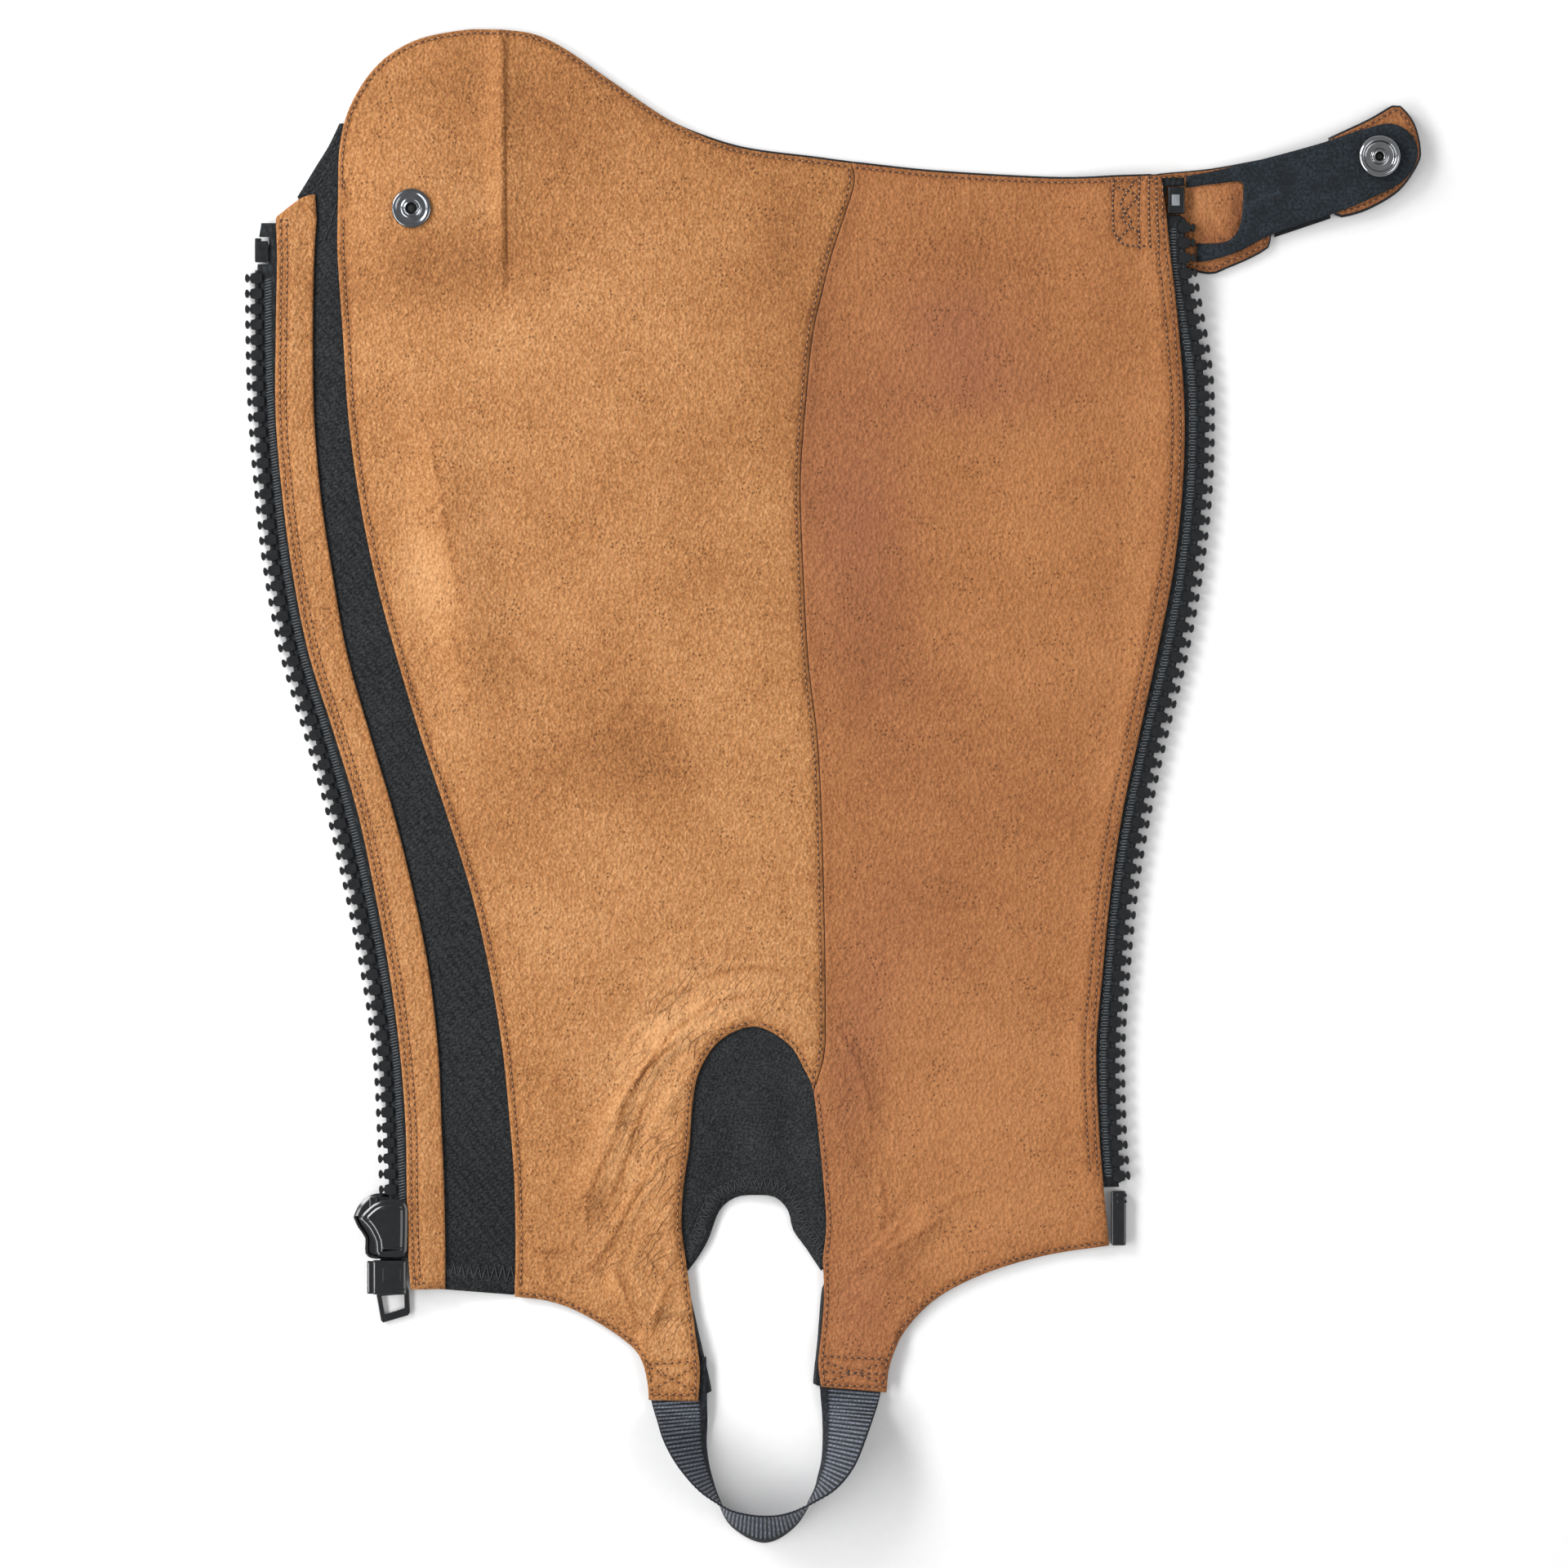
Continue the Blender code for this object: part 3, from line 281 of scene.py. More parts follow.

# Where the leather was dyed darker or redder or rubbed paler, and a few patches of painted light and shade:
# place, reach, turn, shade, red
DYE_AND_PAINTED_LIGHT = (
    (-150, 196, 44, 15, 8, -0.41, 0.03), (-18, 200, 20, 44, -8, -0.3, 0.1),
    (-80, 10, 34, 20, -35, -0.41, 0.03), (-128, -8, 18, 22, 10, -0.22, 0),
    (-156, 82, 9, 30, 12, 0.41, 0), (-104, 178, 34, 26, 0, 0.17, 0),
    # Painted highlight: the patches at (-52, -88) and (-72, -120) paint the light on the raised collar
    # beside the arch, over the leather's own tone
    (-80, -52, 44, 26, 0, 0.12, 0), (-52, -88, 30, 9, 28, 0.45, 0),
    (-72, -120, 12, 36, -28, 0.26, 0), (-150, 270, 32, 11, 15, -0.15, 0),
    (-12, 148, 14, 32, 0, -0.3, 0.07), (-60, 110, 34, 40, 0, -0.09, 0.02),
    (-95, -160, 26, 20, 0, -0.12, 0), (-112, -140, 14, 40, 0, -0.08, 0),
    (-60, -206, 10, 16, 0, 0.19, 0), (-90, 230, 30, 18, 0, -0.08, 0.01),
    (46, 174, 26, 18, -10, -0.2, 0.36), (56, 150, 34, 14, 0, -0.18, 0.27),
    (8, 104, 22, 46, -4, -0.27, 0.33), (18, 46, 26, 40, 6, -0.27, 0.12),
    (76, 96, 30, 52, 0, 0.09, -0.06), (56, 2, 40, 40, 0, -0.12, 0.04),
    (8, -104, 12, 46, -8, -0.22, 0.27), (116, 116, 6, 90, -4, 0.26, -0.03),
    (70, 205, 50, 18, 0, -0.03, 0), (76, -110, 26, 60, 0, -0.06, 0.01),
    (10, -200, 16, 30, 0, -0.04, 0.25), (30, -60, 26, 40, 0, -0.09, 0.11),
    (104, 20, 8, 60, 12, 0.17, 0), (60, -165, 30, 12, 12, 0.22, 0),
    (-92, 262, 62, 34, 0, -0.3, 0.02), (56, -120, 50, 56, 0, 0.42, -0.02),
    # Painted shade along the edges of the closure tab's window, at (153.5, 218) and (146, 206.5), and a
    # painted highlight inside it at (141, 221)
    (50, 60, 60, 90, 0, 0.14, -0.02), (153.5, 218, 4, 14, 0, -0.7, 0.1),
    (146, 206.5, 14, 3.5, 0, -0.6, 0.1), (141, 221, 5, 6, 0, 0.4, 0),
)

STRAP_WIDTH = 23.5
STRAP_SECTIONS = (
    # ground edge across, along, raised edge across, along
    (-48.6, -217.0, -69.6, -218.0),
    (-48.3, -231.0, -69.6, -232.7),
    (-48.4, -241.0, -66.6, -241.6),
    (-48.9, -249.7, -62.9, -249.7),
    (-48.1, -257.5, -58.1, -257.1),
    (-46.3, -264.9, -51.3, -264.6),
    (-44.0, -271.5, -44.6, -269.4),
    (-38.5, -281.5, -37.6, -273.2),
    (-26.5, -287.4, -26.5, -275.1),
    (-15.3, -281.5, -17.0, -273.6),
    (-7.9, -269.5, -7.4, -269.1),
    (-5.7, -262.4, 0.8, -264.0),
    (-4.2, -254.7, 7.6, -255.6),
    (-4.1, -242.0, 13.2, -242.3),
    (-5.4, -229.2, 17.5, -231.1),
    (-5.8, -215.0, 17.6, -216.0),
)
STRAP_RUN_OUT = 13.0
TAB_LEFT_END = -233.0
TAB_RIGHT_END = -229.5
RIB_PITCH = 1.6
RIB_RADIUS = 0.56
SELVEDGE = 2.8

# Sewing: distance between holes, how deep and wide a row presses in, how far thread stands up
# from it, and how far a row lies from a plain edge, a turned foot edge and the side seam
STITCH_PITCH = 2.5
GROOVE = 0.3
GROOVE_WIDTH = 1.3
THREAD_RISE = 0.12
EDGE_ROW = 1.5
FOOT_ROW = 1.4
SIDE_ROW = 2.3


def smooth(points, step=STEP):
    """Points along a curve that passes through the given ones, about a step apart."""
    path = [Vector(p) for p in points]
    path = [2 * path[0] - path[1]] + path + [2 * path[-1] - path[-2]]
    curve = []
    for a, b, c, d in zip(path, path[1:], path[2:], path[3:]):
        count = max(1, round((c - b).length / step))
        for i in range(count):
            t = i / count
            bend = (2 * a - 5 * b + 4 * c - d) * t * t + (3 * b - a - 3 * c + d) * t**3
            curve.append((2 * b + (c - a) * t + bend) / 2)
    return curve + [path[-2]]


def shifted(curve, distance):
    """The curve moved sideways, to the right of the way it runs where distance is positive."""
    moved = []
    for i, point in enumerate(curve):
        way = (curve[min(i + 1, len(curve) - 1)] - curve[max(i - 1, 0)]).normalized()
        moved.append(point + Vector((way.y, -way.x)) * distance)
    return moved


def run_along(curve):
    """How far along a curve each of its points lies."""
    return np.concatenate([[0.0], np.cumsum([(b - a).length for a, b in zip(curve, curve[1:])])])


def across(column, height):
    """Where one long edge lies at a height, on a smooth curve through the table."""
    curve = EDGES[column]
    return float(np.interp(height, curve[:, 1], curve[:, 0]))


def side(column, top, bottom, inset=0.0):
    """One long edge between two heights, downwards, moved across by the inset."""
    rows = [(row[column], row[0]) for row in SECTIONS]
    curve = [p for p in smooth(rows) if bottom + 1 < p.y < top - 1]
    ends = [Vector((across(column, y), y)) for y in (top, bottom)]
    return [p + Vector((inset, 0)) for p in ends[:1] + curve + ends[1:]]


EDGES = {
    column: np.array([tuple(p) for p in smooth([(row[column], row[0]) for row in SECTIONS])])[::-1]
    for column in range(1, 7)
}


def ease(value):
    """A soft step from 0 to 1."""
    t = np.clip(value, 0.0, 1.0)
    return t * t * (3 - 2 * t)


def outside(x, y, low, high):
    """How far places lie outside a rectangle."""
    dx = np.maximum(0, np.maximum(low[0] - x, x - high[0]))
    dy = np.maximum(0, np.maximum(low[1] - y, y - high[1]))
    return np.hypot(dx, dy)


def nearest(x, y, path):
    """Distance from places to a path, and how far along it the nearest point is."""
    line = np.array([tuple(p)[:2] for p in path])
    best = np.full(np.shape(x), 1e9)
    share = np.zeros(np.shape(x))
    for i, (a, b) in enumerate(zip(line, line[1:])):
        way = b - a
        t = np.clip(((x - a[0]) * way[0] + (y - a[1]) * way[1]) / max(way @ way, 1e-9), 0, 1)
        distance = np.hypot(x - a[0] - t * way[0], y - a[1] - t * way[1])
        closer = distance < best
        best = np.where(closer, distance, best)
        share = np.where(closer, (i + t) / (len(line) - 1), share)
    return best, share


# Steps along paths that places are only measured from
FOLD_STEP = 12.0
CREASE_STEP = 5.0
ARCH_STEP = 6.0
FOLD_PATHS = [(height, width, smooth(points, FOLD_STEP)) for height, width, points in FOLDS]
CREASE_PATHS = [
    (swell, depth, width, smooth(points, CREASE_STEP)) for swell, depth, width, points in CREASES
]
ARCH_LINE = smooth(ARCH, ARCH_STEP)


def round_arch(x, y):
    """Places near the arch: across the slanting folds, along them, and how strong the folds are."""
    folds = np.zeros((3, *np.shape(x)))
    near = (x > PUCKERED[0]) & (x < PUCKERED[1]) & (y < PUCKERED[2])
    if np.any(near):
        distance, share = nearest(x[near], y[near], ARCH_LINE)
        run = share * ARCH_LENGTH
        left = ease((share - 0.42) / 0.16)
        folds[0][near] = distance - LEFT_SLANT * run * left + RIGHT_SLANT * run * (1 - left)
        folds[1][near] = run
        inner, outer = ease(distance / 5.0), ease((PUCKER_REACH - distance) / PUCKER_FADE)
        folds[2][near] = inner * outer * (0.35 + 0.65 * left)
    return near, folds


def puckers(x, y):
    """Fine folds that fan out round the arch, sharp in their valleys and round on top."""
    height = np.zeros(np.shape(x))
    near, folds = round_arch(x, y)
    if not np.any(near):
        return height
    slant, run, strength = (part[near] for part in folds)
    lines = [
        0.62 * abs(noise.noise((s / 5.2, r / 30.0, 3.0)))
        + 0.5 * abs(noise.noise((s / 2.9, r / 13.0, 8.0)))
        + 0.25 * noise.noise((s / 9.0, r / 11.0, 14.0))
        for s, r in zip(slant, run)
    ]
    height[near] = PUCKER_HEIGHT * strength * np.clip(np.array(lines) * 2.4, 0, 1.7)
    return height


def ripple(x, y):
    """The slight unevenness of leather that has been turned and pressed by hand."""
    lines = [
        0.16 * abs(noise.noise((a / 26.0, b / 34.0, 1.0)))
        + 0.07 * abs(noise.noise((a / 9.0, b / 12.0, 5.0)))
        for a, b in zip(np.ravel(x), np.ravel(y))
    ]
    return np.array(lines).reshape(np.shape(x))


def ground(x, y):
    """Height of the chap's underside: flat, but for folds, creases and what lies beneath it."""
    x, y = np.asarray(x, float), np.asarray(y, float)
    rise = SLIDER_LIFT * (1 - ease(outside(x, y, *SLIDER_AREA) / SLIDER_RUN_OUT))
    for place, room, radius, run_out in (
        (SNAP_FRONT, STUD_HEIGHT + GAP, STUD_RADIUS, STUD_RUN_OUT),
        (SNAP_TIP, CAP_HEIGHT + GAP, CAP_RADIUS, CAP_RUN_OUT),
    ):
        rise = rise + room * (1 - ease((np.hypot(x - place[0], y - place[1]) - radius) / run_out))
    for height, width, path in FOLD_PATHS:
        distance, share = nearest(x, y, path)
        fade = ease(share / FOLD_FADE) * ease((1 - share) / FOLD_FADE)
        rise = rise + height * fade * (1 - ease(distance / width))
    return rise


def creased(x, y):
    """The ground with the creases that only the finished leather has."""
    x, y = np.asarray(x, float), np.asarray(y, float)
    rise = np.zeros(x.shape)
    for swell, depth, width, path in CREASE_PATHS:
        distance, share = nearest(x, y, path)
        fade = ease(share / CREASE_FADE) * ease((1 - share) / CREASE_FADE)
        cut = np.clip(1 - distance / CREASE_CUT_WIDTH, 0, 1) * min(depth / swell, 1.0) * CREASE_CUT_SHARE
        rise = rise + swell * fade * (1 - ease(distance / width)) * (1 - cut)
    return ground(x, y) + rise + puckers(x, y) + ripple(x, y)


def calf_ground(x, y):
    """The calf panel's corner lies on the root of the closure tab."""
    x, y = np.asarray(x, float), np.asarray(y, float)
    root = OVERLAY_LEVEL * (1 - ease(outside(x, y, *ROOT_AREA) / ROOT_RUN_OUT))
    return creased(x, y) + root


def tab_lining(x, y):
    """The linings of both foot tabs are lifted by the strap's sewn ends."""
    inside = (x > STRAP_ENDS[0]) & (x < STRAP_ENDS[1])
    return np.where(inside, ease((STRAP_TOP - y) / STRAP_RISE) * (STRAP_THICK + GAP), 0.0)


def front_lining_ground(x, y):
    """The front lining lies on its shell, with the dart's fold pressed to the left."""
    distance, share = nearest(x, y, DART)
    fold = DART_HEIGHT * (1 - ease(distance / DART_WIDTH)) * ease((1 - share) / 0.4)
    dart = np.where(x < DART[1][0], fold, 0.0)
    return creased(x, y) + LINING_LEVEL + tab_lining(x, y) + dart


def calf_lining_ground(x, y):
    """The calf lining lies on its shell and, along the zip, over the tape."""
    from_edge = np.interp(y, EDGES[CALF_RIGHT][:, 1], EDGES[CALF_RIGHT][:, 0]) - x
    over_tape = OVER_TAPE * (1 - ease((from_edge - TAPE_REACH) / CALF_TAPE_RUN_OUT))
    return calf_ground(x, y) + LINING_LEVEL + over_tape + tab_lining(x, y)


def facing_ground(x, y):
    """The facing lies on the strip behind it and, along the zip, over the tape."""
    from_edge = x - np.interp(y, EDGES[FACING_LEFT][:, 1], EDGES[FACING_LEFT][:, 0])
    over_tape = OVER_TAPE * (1 - ease((from_edge - TAPE_REACH) / FACING_TAPE_RUN_OUT))
    return creased(x, y) + LINING_LEVEL + over_tape


def gusset_ground(x, y):
    """The gusset bows up beside a soft valley on its calf side."""
    distance, share = nearest(x, y, GUSSET_BOW)
    from_valley, _ = nearest(x, y, GUSSET_VALLEY)
    bow = GUSSET_BOW_HEIGHT * (1 - ease(distance / GUSSET_BOW_WIDTH)) * ease(share / 0.3)
    bank = GUSSET_VALLEY_DEPTH * ease((from_valley - 2) / 5) * (1 - ease((distance - 9) / 8))
    return ground(x, y) + bow + bank


def raised(base, height):
    """A ground that lies a fixed height above another."""
    return lambda x, y: base(x, y) + height


def closed(points, corners):
    """A ring through the points, smooth but for the named corners."""
    count = len(points)
    ring = []
    for start, end in zip(corners, corners[1:] + (corners[0] + count,)):
        run = [points[i % count] for i in range(start, end + 1)]
        ring += smooth(run)[:-1]
    return ring


def outlines():
    """Each sheet's outline, as one closed ring of points."""
    seam = smooth(SEAM)
    calf_seam = shifted(seam, -GAP)
    dome = smooth(DOME)
    arch = smooth(ARCH)
    foot = min(range(len(arch)), key=lambda i: (arch[i] - seam[-1]).length)
    inner = SEAM_TURNING + GAP
    deep = shifted(arch, inner)
    deep_front = [p for p in deep if p.x < RIGHT_FOOT_OF_ARCH or p.y > SEAM_TOP_OF_ARCH]
    deep_calf = [p for p in deep if p not in deep_front]
    seam_low = [p for p in seam if p.y > SEAM_TOP_OF_ARCH]
    calf_low = [p for p in calf_seam if p.y > SEAM_TOP_OF_ARCH]
    calf_top = smooth(CALF_TOP)
    front_left = side(FRONT_LEFT, PANEL_TOP, PANEL_FOOT)
    bottom_front = smooth(TAB_LEFT_OUTER)
    bottom_calf = smooth(TAB_RIGHT_OUTER)
    shell_left = [p + Vector((inner, 0)) for p in [Vector(SHELL_TOP_LEFT)] + front_left]
    shell_dome = [p + Vector((0, SHELL_PEEP * float(ease((p.x + 66) / 20)))) for p in dome]
    shell_top = [p + Vector((0, SHELL_PEEP)) for p in calf_top]
    rings = {
        "lining_front": dome + seam[1:] + arch[foot + 1:] + smooth(TAB_LEFT_INNER)[1:]
        + bottom_front + front_left[::-1],
        "lining_calf": calf_top + side(CALF_RIGHT, PANEL_TOP, CALF_FOOT) + bottom_calf[::-1]
        + smooth(TAB_RIGHT_INNER)[::-1] + arch[1:foot] + calf_seam[::-1][:-1],
        "shell_front": [p for p in shell_dome if p.y > 257.4 or p.x > -170] + seam_low[1:] + deep_front
        + smooth(SHELL_TAB_LEFT) + [p for p in bottom_front if p.x > -115.0]
        + [Vector(SHELL_FOOT_LEFT) + Vector((inner, 0))] + shell_left[::-1],
        "shell_calf": [p for p in shell_top if p.x < 121.5] + [Vector(SHELL_TOP_RIGHT)]
        + side(CALF_RIGHT, PANEL_TOP, CALF_FOOT, -SHELL_INSET) + bottom_calf[::-1]
        + smooth(SHELL_TAB_RIGHT)[::-1] + deep_calf + calf_low[::-1][:-1],
        "instep_gusset": shifted(arch, SEAM_TURNING) + smooth(GUSSET_EDGE),
        "stretch_panel": smooth(STRETCH_TOP) + [Vector(STRETCH_TOP_RIGHT)]
        + side(FRONT_LEFT, PANEL_TOP, PANEL_FOOT, SEAM_TURNING) + [Vector(STRETCH_FOOT_RIGHT)]
        + side(FACING_RIGHT, PANEL_TOP, PANEL_FOOT, -FACING_TURNING)[::-1],
        "zip_facing": smooth(FACING_TOP) + side(FACING_RIGHT, PANEL_TOP, PANEL_FOOT)
        + side(FACING_LEFT, PANEL_TOP, PANEL_FOOT)[::-1],
        "zip_outer_strip": [Vector(p) for p in OUTER_STRIP_TOP]
        + side(FACING_RIGHT, STRIP_TOP, STRIP_FOOT, -FACING_TURNING - GAP)
        + side(FACING_LEFT, STRIP_TOP, STRIP_FOOT, SHELL_INSET)[::-1],
        "zip_tape_left": side(FACING_LEFT, TAPE_TOP, TAPE_END_LEFT, TAPE_TURNING)
        + side(TAPE_LEFT, NOTCH_LEFT[0][1] - 1, TAPE_END_LEFT)[::-1] + [Vector(p) for p in NOTCH_LEFT],
        "zip_tape_right": [Vector(p) for p in NOTCH_RIGHT]
        + side(TAPE_RIGHT, PANEL_TOP, TAPE_END_RIGHT)
        + side(CALF_RIGHT, PANEL_TOP, TAPE_END_RIGHT, -TAPE_TURNING)[::-1]
        + [Vector(TAPE_TOP_CORNER)],
        "tab_root_shell": closed(ROOT_OUTLINE, ROOT_CORNERS),
        "tab_tip_shell": closed(TIP_OUTLINE, TIP_CORNERS),
        "tab_elastic": [Vector(p) for p in ELASTIC_OUTLINE],
        "tab_overlay": smooth(OVERLAY_OUTER) + smooth(OVERLAY_WINDOW),
    }
    rings["tab_root_lining"] = shifted(rings["tab_root_shell"], 0.7)
    rings["tab_tip_lining"] = shifted(rings["tab_tip_shell"], 0.9)
    return rings


def linear(colour):
    """An sRGB hex colour as linear red, green, blue and alpha."""
    parts = [int(colour[i:i + 2], 16) / 255 for i in (1, 3, 5)]
    return (*[c / 12.92 if c <= 0.04045 else ((c + 0.055) / 1.055) ** 2.4 for c in parts], 1.0)


def add(tree, kind, values=None, **settings):
    """A node with its settings. A socket is given a value, an output, or a node for its first one."""
    made = tree.nodes.new(kind)
    for key, value in settings.items():
        setattr(made, key, value)
    for key, value in (values or {}).items():
        if isinstance(value, bpy.types.Node):
            value = value.outputs[0]
        if isinstance(value, bpy.types.NodeSocket):
            tree.links.new(value, made.inputs[key])
        else:
            made.inputs[key].default_value = value
    return made


def finish(name, colour, roughness, **levels):
    """A material with its shader, ready for the nodes that give it its surface."""
    made = bpy.data.materials.new(name)
    made.use_nodes = True
    tree = made.node_tree
    shader = tree.nodes["Principled BSDF"]
    shader.inputs["Base Color"].default_value = linear(colour)
    shader.inputs["Roughness"].default_value = roughness
    for level, value in levels.items():
        shader.inputs[level.replace("_", " ")].default_value = value
    made.diffuse_color = linear(colour)
    return made, tree, shader


def relief(tree, shader, height, depth, strength):
    """Joins a height to the shader's normal. Depth is in millimetres."""
    bump = add(tree, "ShaderNodeBump", {"Height": height, "Distance": depth * MM, "Strength": strength})
    tree.links.new(bump.outputs[0], shader.inputs["Normal"])


# A pattern on a flat sheet needs no third dimension
FLAT_NOISE = {"noise_dimensions": "2D"}
FLAT_CELLS = {"voronoi_dimensions": "2D"}


def tan_leather(name, pale, mid, deep, red):
    """Pigskin lining with a napped face: matt, cloudy from uneven dyeing, dotted with pores, with fine
    wrinkles drawn in painted shade.
    """
    made, tree, shader = finish(name, mid, 0.74, IOR=1.46, Specular_IOR_Level=0.35, Sheen_Weight=0.04)
    place = add(tree, "ShaderNodeTexCoord").outputs["Object"]
    painted = add(tree, "ShaderNodeAttribute", attribute_name="tone_and_painted_light")
    tone_and_painted_light = add(tree, "ShaderNodeSeparateColor", {0: painted.outputs["Color"]})
    # Dye clouds are 30 mm wide, mottling 3.5 mm and the nap's fibres 0.8 mm
    cloud = add(tree, "ShaderNodeTexNoise", {"Vector": place, "Scale": 33.0, "Detail": 3.0}, **FLAT_NOISE)
    mottle = add(tree, "ShaderNodeTexNoise", {
        "Vector": place, "Scale": 290.0, "Detail": 3.0, "Roughness": 0.6}, **FLAT_NOISE)
    laid = add(tree, "ShaderNodeMapping", {
        "Vector": place, "Rotation": (0, 0, 0.7), "Scale": (1.0, 0.7, 1.0)})
    nap = add(tree, "ShaderNodeTexNoise", {
        "Vector": laid, "Scale": 1250.0, "Detail": 3.0, "Roughness": 0.7}, **FLAT_NOISE)
    shade = tone_and_painted_light.outputs[0]
    for source, amount in ((cloud, 0.27), (mottle, 0.4), (nap, 1.05)):
        part = add(tree, "ShaderNodeMath", {0: source, 1: 0.5}, operation="SUBTRACT")
        sum_so_far = add(tree, "ShaderNodeMath", {
            0: part, 1: amount, 2: shade}, operation="MULTIPLY_ADD")
        shade = sum_so_far.outputs[0]
    tones = add(tree, "ShaderNodeValToRGB", {0: shade})
    tones.color_ramp.elements[0].position = 0.12
    tones.color_ramp.elements[0].color = linear(deep)
    tones.color_ramp.elements[1].position = 0.80
    tones.color_ramp.elements[1].color = linear(pale)
    tones.color_ramp.elements.new(0.45).color = linear(mid)
    redder = add(tree, "ShaderNodeMix", {0: tone_and_painted_light.outputs[1], 6: tones, 7: linear(red)}, data_type="RGBA")
    # Pores stand in loose groups, 1.9 mm apart, and are drawn 0.7 mm wide so that they show
    pores = add(tree, "ShaderNodeTexVoronoi", {"Vector": place, "Scale": 520.0}, **FLAT_CELLS)
    dots = add(tree, "ShaderNodeMapRange", {
        0: pores.outputs["Distance"], 1: 0.10, 2: 0.26, 3: 1.0, 4: 0.0})
    groups = add(tree, "ShaderNodeTexNoise", {"Vector": place, "Scale": 85.0, "Detail": 2.0}, **FLAT_NOISE)
    where = add(tree, "ShaderNodeMapRange", {0: groups, 1: 0.50, 2: 0.66})
    each = add(tree, "ShaderNodeMath", {0: pores.outputs["Color"], 1: 0.55}, operation="GREATER_THAN")
    dots = add(tree, "ShaderNodeMath", {0: dots, 1: where}, operation="MULTIPLY")
    dots = add(tree, "ShaderNodeMath", {0: dots, 1: each}, operation="MULTIPLY")
    # Fine branching wrinkles beside the arch, drawn as dark lines of painted shade and pressed in as bumps:
    # a net of slanting cells 3 mm wide and 13 mm long
    bend = add(tree, "ShaderNodeTexNoise", {"Vector": place, "Scale": 70.0, "Detail": 2.0}, **FLAT_NOISE)
    bent = add(tree, "ShaderNodeVectorMath", {
        0: bend.outputs["Color"], 1: (0.007, 0.007, 0.0), 2: place}, operation="MULTIPLY_ADD")
    slanted = add(tree, "ShaderNodeMapping", {
        "Vector": bent, "Rotation": (0, 0, 0.92), "Scale": (0.013, 0.003, 1.0)},
        vector_type="TEXTURE")
    cells = add(tree, "ShaderNodeTexVoronoi", {
        "Vector": slanted, "Scale": 1.0}, feature="DISTANCE_TO_EDGE", **FLAT_CELLS)
    lines = add(tree, "ShaderNodeMapRange", {0: cells, 1: 0.0, 2: 0.11, 3: 1.0, 4: 0.0})
    broken = add(tree, "ShaderNodeMapRange", {0: bend, 1: 0.40, 2: 0.60})
    wrinkles = add(tree, "ShaderNodeMath", {0: lines, 1: broken}, operation="MULTIPLY")
    wrinkles = add(tree, "ShaderNodeMath", {0: wrinkles, 1: tone_and_painted_light.outputs[2]}, operation="MULTIPLY")
    # The pores and the painted shade of the wrinkles darken the colour towards deep brown
    faint = add(tree, "ShaderNodeMath", {0: dots, 1: 0.62}, operation="MULTIPLY")
    faint = add(tree, "ShaderNodeMath", {0: wrinkles, 1: 0.45, 2: faint}, operation="MULTIPLY_ADD")
    dark = add(tree, "ShaderNodeMix", {
        0: faint, 6: redder.outputs[2], 7: linear("#5a3216")}, data_type="RGBA")
    tree.links.new(dark.outputs[2], shader.inputs["Base Color"])
    # Rubbed creases are a little smoother
    rubbed = add(tree, "ShaderNodeMapRange", {0: shade, 1: 0.3, 2: 1.0, 3: 0.82, 4: 0.6})
    tree.links.new(rubbed.outputs[0], shader.inputs["Roughness"])
    pebble = add(tree, "ShaderNodeTexVoronoi", {"Vector": laid, "Scale": 640.0}, **FLAT_CELLS)
    height = add(tree, "ShaderNodeMath", {
        0: nap, 1: 0.8, 2: pebble.outputs["Distance"]}, operation="MULTIPLY_ADD")
    height = add(tree, "ShaderNodeMath", {0: mottle, 1: 1.2, 2: height}, operation="MULTIPLY_ADD")
    for sunk in (dots, wrinkles):
        height = add(tree, "ShaderNodeMath", {0: height, 1: sunk}, operation="SUBTRACT")
    relief(tree, shader, height, 0.5, 0.85)
    return made


def black_leather(name, colour, worn, grain, roughness, scuffed=False):
    """Dyed leather: near black, with a fine grain and paler wear on its high spots."""
    made, tree, shader = finish(name, colour, roughness, IOR=1.5, Specular_IOR_Level=0.3)
    place = add(tree, "ShaderNodeTexCoord").outputs["Object"]
    cells = add(tree, "ShaderNodeTexVoronoi", {"Vector": place, "Scale": 1000 / grain}, **FLAT_CELLS)
    cloud = add(tree, "ShaderNodeTexNoise", {
        "Vector": place, "Scale": 120.0, "Detail": 5.0, "Roughness": 0.7}, **FLAT_NOISE)
    dust = add(tree, "ShaderNodeTexNoise", {"Vector": place, "Scale": 900.0, "Detail": 2.0}, **FLAT_NOISE)
    shade = add(tree, "ShaderNodeMath", {0: cloud, 1: dust}, operation="MULTIPLY")
    worn_part = add(tree, "ShaderNodeMapRange", {0: shade, 1: 0.16, 2: 0.42}).outputs[0]
    if scuffed:
        tone_and_painted_light = add(tree, "ShaderNodeAttribute", attribute_name="tone_and_painted_light")
        scuffs = add(tree, "ShaderNodeMath", {0: worn_part, 1: tone_and_painted_light.outputs["Fac"]}, operation="ADD")
        worn_part = scuffs.outputs[0]
    tone = add(tree, "ShaderNodeMix", {
        0: worn_part, 6: linear(colour), 7: linear(worn)}, data_type="RGBA")
    tree.links.new(tone.outputs[2], shader.inputs["Base Color"])
    rough = add(tree, "ShaderNodeMapRange", {
        0: cloud, 1: 0.3, 2: 0.7, 3: roughness - 0.08, 4: roughness + 0.1})
    tree.links.new(rough.outputs[0], shader.inputs["Roughness"])
    height = add(tree, "ShaderNodeMath", {0: cells.outputs["Distance"], 1: cloud}, operation="ADD")
    relief(tree, shader, height, 0.22, 0.5)
    return made


# A wave texture at this scale has waves 1 mm apart
WAVE_SCALE = 318.0


